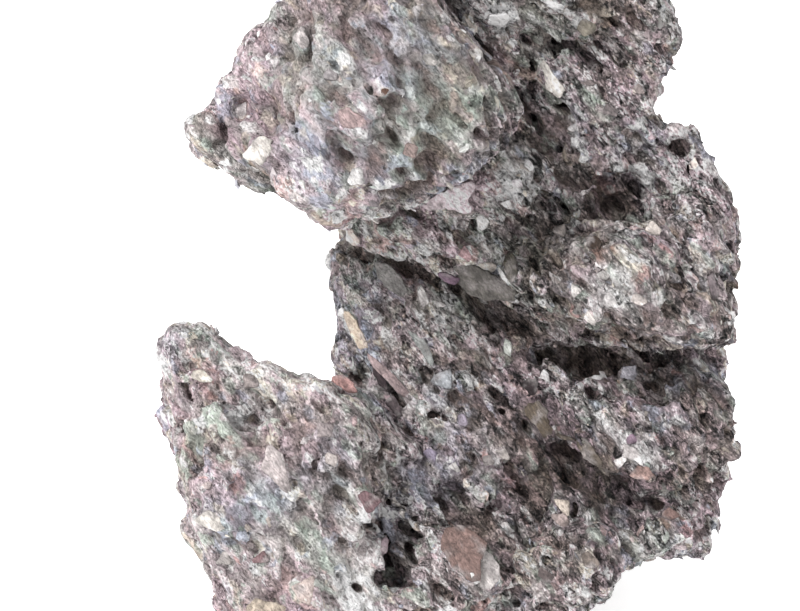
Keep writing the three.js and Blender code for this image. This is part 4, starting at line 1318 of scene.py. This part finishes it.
    # painted shade: thin dark slits along the fabric, also dented in the bump
    gap = noise_tex(fabric(4.0, 2.2, 0.85), 0.22, 1, 0.5)
    slit_shade = ramp(math_("ABSOLUTE", math_("SUBTRACT", gap.outputs["Fac"], 0.5)), 0.003, 0.018, 1.0, 0.0)
    slit_shade = math_("MULTIPLY", slit_shade, ramp(gate.outputs["Fac"], 0.58, 0.44))
    slit_shade = math_("MULTIPLY", slit_shade, ramp(crisp, 0.35, 0.9))
    shade = math_("MULTIPLY", math_("SUBTRACT", a1, 0.5), 0.75)
    shade = math_("ADD", shade, math_("MULTIPLY", math_("SUBTRACT", b1, 0.5), 0.6))
    shade = math_("ADD", shade, math_("MULTIPLY", math_("SUBTRACT", c1, 0.5), 0.4))
    shade = math_("ADD", shade, math_("MULTIPLY", math_("SUBTRACT", fine.outputs["Fac"], 0.5), 1.5))
    shade = math_("ADD", shade, ramp(mottle.outputs["Fac"], 0.38, 0.62, -0.25, 0.25))
    shade = math_("ADD", shade, math_("MULTIPLY", math_("SUBTRACT", streak.outputs["Fac"], 0.5), 0.35))
    # painted shade between the grains and where the fine relief is low
    shade = math_("SUBTRACT", shade, math_("MULTIPLY", seam_shade, 0.5))
    shade = math_("SUBTRACT", shade, math_("MULTIPLY", cave_shade, 0.35))
    shade = math_("ADD", shade, math_("MULTIPLY", ramp(b2, 0.9, 0.93), 0.5))
    shade = math_("ADD", shade, math_("MULTIPLY", ramp(a2, 0.9, 0.92), 0.45))
    shade = math_("SUBTRACT", shade, math_("MULTIPLY", ramp(b2, 0.12, 0.08), 0.6))
    shade = math_("SUBTRACT", shade, math_("MULTIPLY", ramp(a2, 0.08, 0.06), 0.5))
    shade = math_("ADD", shade, 0.2)
    shade = math_("MULTIPLY", shade, ramp(crisp, 0.0, 1.0, 0.2 * grain, 1.3 * grain))
    shade = math_("EXPONENT", shade)
    shade = math_("MINIMUM", shade, 3.0)
    mul = node("ShaderNodeVectorMath", operation="SCALE")
    L(attr.outputs["Color"], mul.inputs[0])
    L(shade, mul.inputs["Scale"])
    least = node("ShaderNodeVectorMath", operation="MINIMUM")
    L(mul.outputs[0], least.inputs[0])
    least.inputs[1].default_value = (0.56, 0.55, 0.55)
    col = least.outputs[0]
    # painted shade in the pores and the slits
    col = blend(math_("MULTIPLY", pit_shade_and_grime, 0.6 * pit_slit_shade_and_dent), col, (*lin(48, 41, 38), 1))

    col = blend(math_("MULTIPLY", slit_shade, 0.8 * pit_slit_shade_and_dent), col, (*lin(46, 39, 36), 1))

    height = math_("ADD", math_("MULTIPLY", fine.outputs["Fac"], 1.0), math_("MULTIPLY", a1, 0.5))
    height = math_("ADD", height, math_("MULTIPLY", b1, 0.25))
    height = math_("ADD", height, math_("MULTIPLY", c1, 0.5))
    height = math_("SUBTRACT", height, math_("MULTIPLY", ad, 0.3))
    height = math_("SUBTRACT", height, math_("MULTIPLY", bd, 0.3))
    height = math_("SUBTRACT", height, math_("MULTIPLY", pit_shade_and_grime, 0.9 * pit_slit_shade_and_dent))
    height = math_("SUBTRACT", height, math_("MULTIPLY", slit_shade, 0.8 * pit_slit_shade_and_dent))
    height = math_("ADD", height, math_("MULTIPLY", streak.outputs["Fac"], 0.4 * grain))
    height = math_("SUBTRACT", height, math_("MULTIPLY", seam_shade, 0.35 * grain))
    height = math_("SUBTRACT", height, math_("MULTIPLY", cave_shade, 0.4 * grain))
    height = math_("MULTIPLY", height, ramp(crisp, 0.0, 1.0, 0.4, 1.6))
    bump = node("ShaderNodeBump")
    bump.inputs["Strength"].default_value = bumpy
    bump.inputs["Distance"].default_value = 0.0016
    L(height, bump.inputs["Height"])

    bsdf = node("ShaderNodeBsdfPrincipled")
    L(col, bsdf.inputs["Base Color"])
    way = leaned(bump.outputs[0], a_way, ramp(crisp, 0.0, 1.0, 0.1 * grain, 0.7 * grain))
    way = leaned(way, c_way, ramp(crisp, 0.0, 1.0, 0.2 * grain, 1.0 * grain))
    L(way, bsdf.inputs["Normal"])
    if glinting:
        L(ramp(attr.outputs["Alpha"], 0.0, 1.0, 0.3, 0.85), bsdf.inputs["Roughness"])
    else:
        bsdf.inputs["Roughness"].default_value = 0.85
    bsdf.inputs["Specular IOR Level"].default_value = 0.35
    out = node("ShaderNodeOutputMaterial")
    L(bsdf.outputs[0], out.inputs[0])
    return mat


tuff = build_material("tuff", 1.0, 1.0, 0.9, False)
fragment = build_material("fragment", 0.35, 0.3, 0.5, True)
for o in pieces:
    o.data.materials.append(tuff if o.name.startswith("stone") else fragment)
clast_piece.data.materials.append(fragment)
pieces.append(clast_piece)
for o in pieces:
    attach(o, "root")
    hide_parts("rock")

# ---------------------------------------------------------------- floor, light, camera
floor_mat = bpy.data.materials.new("floor")
floor_mat.use_nodes = True
fb = floor_mat.node_tree.nodes["Principled BSDF"]
fb.inputs["Base Color"].default_value = (0.93, 0.93, 0.93, 1)
fb.inputs["Roughness"].default_value = 0.7
fb.inputs["Specular IOR Level"].default_value = 0.1
fb.inputs["Emission Color"].default_value = (1, 1, 1, 1)
fb.inputs["Emission Strength"].default_value = 0.65
me = bpy.data.meshes.new("floor")
me.from_pydata([(-3, -3, 0), (3, -3, 0), (3, 3, 0), (-3, 3, 0)], [], [(0, 1, 2, 3)])
me.materials.append(floor_mat)
floor = bpy.data.objects.new("floor", me)
bpy.context.scene.collection.objects.link(floor)

scene = bpy.context.scene
world = bpy.data.worlds.new("studio")
scene.world = world
world.use_nodes = True
bg = world.node_tree.nodes["Background"]
bg.inputs["Color"].default_value = (1, 1, 1, 1)
bg.inputs["Strength"].default_value = 1.0


def sun(name, towards_light, strength, angle):
    from mathutils import Vector

    l = bpy.data.lights.new(name, "SUN")
    l.energy = strength
    l.angle = math.radians(angle)
    o = bpy.data.objects.new(name, l)
    o.rotation_euler = Vector(towards_light).to_track_quat("Z", "Y").to_euler()
    scene.collection.objects.link(o)
    return o


sun("key", (-0.75, -0.68, 1.0), 4.1, 16)
sun("fill", (-1.0, -0.9, 0.3), 0.7, 70)

cam = bpy.data.cameras.new("camera")
cam.lens = 80
cam.sensor_width = 36
cam.clip_end = 10
camera = bpy.data.objects.new("camera", cam)
camera.location = tuple(EYE * 0.001)
camera.rotation_euler = (math.pi / 2 - LEAN, 0, 0)
scene.collection.objects.link(camera)
scene.camera = camera

scene.view_settings.view_transform = "Standard"
scene.view_settings.look = "None"

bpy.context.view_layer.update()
tick("done")
